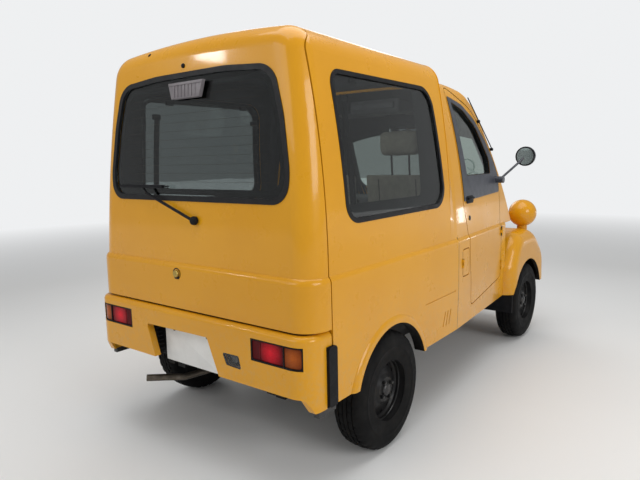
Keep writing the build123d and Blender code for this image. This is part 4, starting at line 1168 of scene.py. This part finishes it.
frontLook = {
    "lampPlace": (1.236, 0.54, 0.833),
    "bezel": [(0.061, 0.0004), (0.0612, 0.004), (0.064, 0.0058), (0.0672, 0.003), (0.0675, -0.004)],
    "bowl": [(0.06, -0.02), (0.0585, -0.0192), (0.048, -0.0194), (0.03, -0.0198), (0.012, -0.0199),
             (0, -0.0199)],
    "bulb": [(0.012, -0.0197), (0.012, -0.012), (0.007, -0.006), (0, -0.004)],
    "grilleSize": (0.01, 0.52, 0.01),
    "grilleHeights": (0.43, 0.532),
    "blades": ((-0.06, 0.3), (-0.4, -0.04)),
    "bladeHeight": 1.085,
    "bladeRadius": 0.0042,
    "armRadius": 0.0038,
    "hub": [(0.013, -0.006), (0.013, 0.006), (0.008, 0.0095), (0, 0.01)],
    "indicator": [(0.026, -0.001), (0.0255, 0.008), (0.02, 0.0155), (0.009, 0.019), (0, 0.0195)],
    "indicatorPlace": (1.32, 0.56),
}


def buildFront():
    print("front")
    look = frontLook
    x, y, z = look["lampPlace"]
    places = [axisFrame((x, side * y, z), (1, 0, 0)) for side in sides]
    for name, part, steps, finish, slot in (("headlamp_bezels", "bezel", 72, "wheelSteel", "black_paint"),
                                            ("headlamp_bowls", "bowl", 64, "mirrorSilver", "clear_glass"),
                                            ("headlamp_bulbs", "bulb", 28, "plateEnamel", "lamp_glass")):
        addPiece(name, [lathe(look[part], steps, place) for place in places], finish)
    bars = [softBox(look["grilleSize"], 0.003, at(1.228, 0, z)) for z in spaced(*look["grilleHeights"], 4)]
    addPiece("grille_bars", bars)

    parts = []
    for low, high in look["blades"]:
        middle = (low + high) / 2
        foot, _ = touch("cab_body", (0.8, middle - 0.1, 1.6), (0, 0, -1))
        starts = [(2.0, y, look["bladeHeight"]) for y in spaced(low, high, 9)]
        points = traced("windscreen", starts, (-1, 0, 0), (0.0065, 0, 0))
        hub = Vector((0.775, middle - 0.15, foot.z))
        elbow = hub.lerp(points[4], 0.5) + Vector((0.012, 0, 0.004))
        parts += [tube(points, look["bladeRadius"]), tube([hub, elbow, points[4]], look["armRadius"]),
                  lathe(look["hub"], 24, axisFrame(hub, (0.45, 0, 1)))]
    addPiece("screen_wipers", parts, "blackPlastic", smooth=50)

    x, y = look["indicatorPlace"]
    lamps = [lathe(look["indicator"], 36, axisFrame(*touch("front_fenders", (x, side * y, 1.0), (0, 0, -1))))
             for side in sides]
    addPiece("front_indicators", lamps, "amberLens")


for build in (buildWheels, buildRearLamps, buildPlates, buildTail, buildStopLamp, buildBorders, buildLinings,
              buildDoors, buildSeats, buildCabin, buildSeals, buildFront):
    build()


# Studio: pale floor, pale surroundings, soft lamps and the camera

studio = {
    "cameraPlace": (-2.79, -1.76, 1.2225),
    "yaw": 0.6513,
    "pitch": -0.1415,
    "roll": -0.02,
    "lens": 31.15,
    "floorSize": 60.0,
    "floorColour": (0.8, 0.8, 0.79),
    "floorFade": (4.0, 10.0),
    "worldColour": (0.86, 0.87, 0.88),
    "worldLight": 0.42,
    # columns: name, place, aim, width, height, power
    "lamps": [("ceilingLamp", (-0.4, -0.4, 4.2), (-0.2, 0.0, 0.8), 4.5, 3.0, 104.0),
              ("sideLamp", (-1.5, -5.0, 2.6), (-0.9, 0.0, 0.9), 2.6, 2.0, 92.0),
              ("tailSpot", (-3.75, 2.7, 2.72), (-1.3, -0.1, 1.62), 0.3, 0.24, 8.0),
              ("doorSpot", (3.8, -1.74, 0.72), (-0.1, -0.6, 0.9), 0.06, 0.26, 0.9),
              ("cabinLamp", (-0.85, 0.05, 1.5), (-0.05, -0.15, 1.0), 0.7, 0.2, 3.0),
              ("rearLamp", (-5.0, 1.2, 3.0), (0.0, 0.0, 0.9), 3.0, 2.0, 38.0),
              ("farLamp", (3.8, 3.2, 3.2), (0.0, 0.0, 0.8), 3.0, 2.0, 55.0)],
}


def buildCamera():
    camera = linked("camera", bpy.data.cameras.new("camera"))
    turn = (Matrix.Rotation(studio["yaw"] - math.pi / 2, 4, "Z")
            @ Matrix.Rotation(studio["pitch"] + math.pi / 2, 4, "X") @ Matrix.Rotation(studio["roll"], 4, "Z"))
    camera.matrix_world = at(*studio["cameraPlace"]) @ turn
    camera.data.lens = studio["lens"]
    camera.data.sensor_width = 36.0
    bpy.context.scene.camera = camera


def buildLamps():
    for name, place, aim, width, height, power in studio["lamps"]:
        light = bpy.data.lights.new(name, "AREA")
        light.shape = "RECTANGLE"
        light.size, light.size_y, light.energy = width, height, power
        lamp = linked(name, light)
        way = (Vector(aim) - Vector(place)).normalized()
        lamp.matrix_world = at(*place) @ way.to_track_quat("-Z", "Y").to_matrix().to_4x4()
        lamp.visible_camera = lamp.visible_transmission = False
        lamp.visible_glossy = name != "cabinLamp"


def buildFloor():
    half = studio["floorSize"] / 2
    mesh = bpy.data.meshes.new("floor")
    mesh.from_pydata([(-half, -half, 0), (half, -half, 0), (half, half, 0), (-half, half, 0)], [], [(0, 1, 2, 3)])
    floor = linked("floor", mesh)
    mat, tree, shader = newMaterial("paleFloor")
    cloud = remap(tree, noise(tree, 0.8, 3.0), 0.3, 0.7, 0.0, 1.0)
    pale = studio["floorColour"]
    feed(tree, blendColours(tree, cloud, pale, tuple(c * 0.985 for c in pale)), shader, "Base Color")
    setInputs(shader, {"Roughness": 0.6})
    # far off, the floor turns into the backdrop
    length = addNode(tree, "ShaderNodeVectorMath", operation="LENGTH")
    feed(tree, ownPoint(tree), length)
    fade = remap(tree, length.outputs["Value"], *studio["floorFade"], 0.0, 1.0)
    backdrop = addNode(tree, "ShaderNodeEmission")
    setInputs(backdrop, {"Color": (*studio["worldColour"], 1.0)})
    mixShaders(tree, fade, shader.outputs[0], backdrop.outputs[0])
    mesh.materials.append(mat)


def buildWorld():
    world = bpy.data.worlds.new("paleRoom")
    bpy.context.scene.world = world
    world.use_nodes = True
    tree = world.node_tree
    sky = tree.nodes["Background"]
    shown = addNode(tree, "ShaderNodeBackground")
    for background, strength in ((sky, studio["worldLight"]), (shown, 1.0)):
        setInputs(background, {"Color": (*studio["worldColour"], 1.0), "Strength": strength})
    ray = addNode(tree, "ShaderNodeLightPath")
    mixShaders(tree, ray.outputs["Is Camera Ray"], sky.outputs[0], shown.outputs[0], "World Output")


print("studio")
buildCamera()
buildLamps()
buildFloor()
buildWorld()
bpy.context.scene.view_settings.view_transform = "Standard"

print("done")
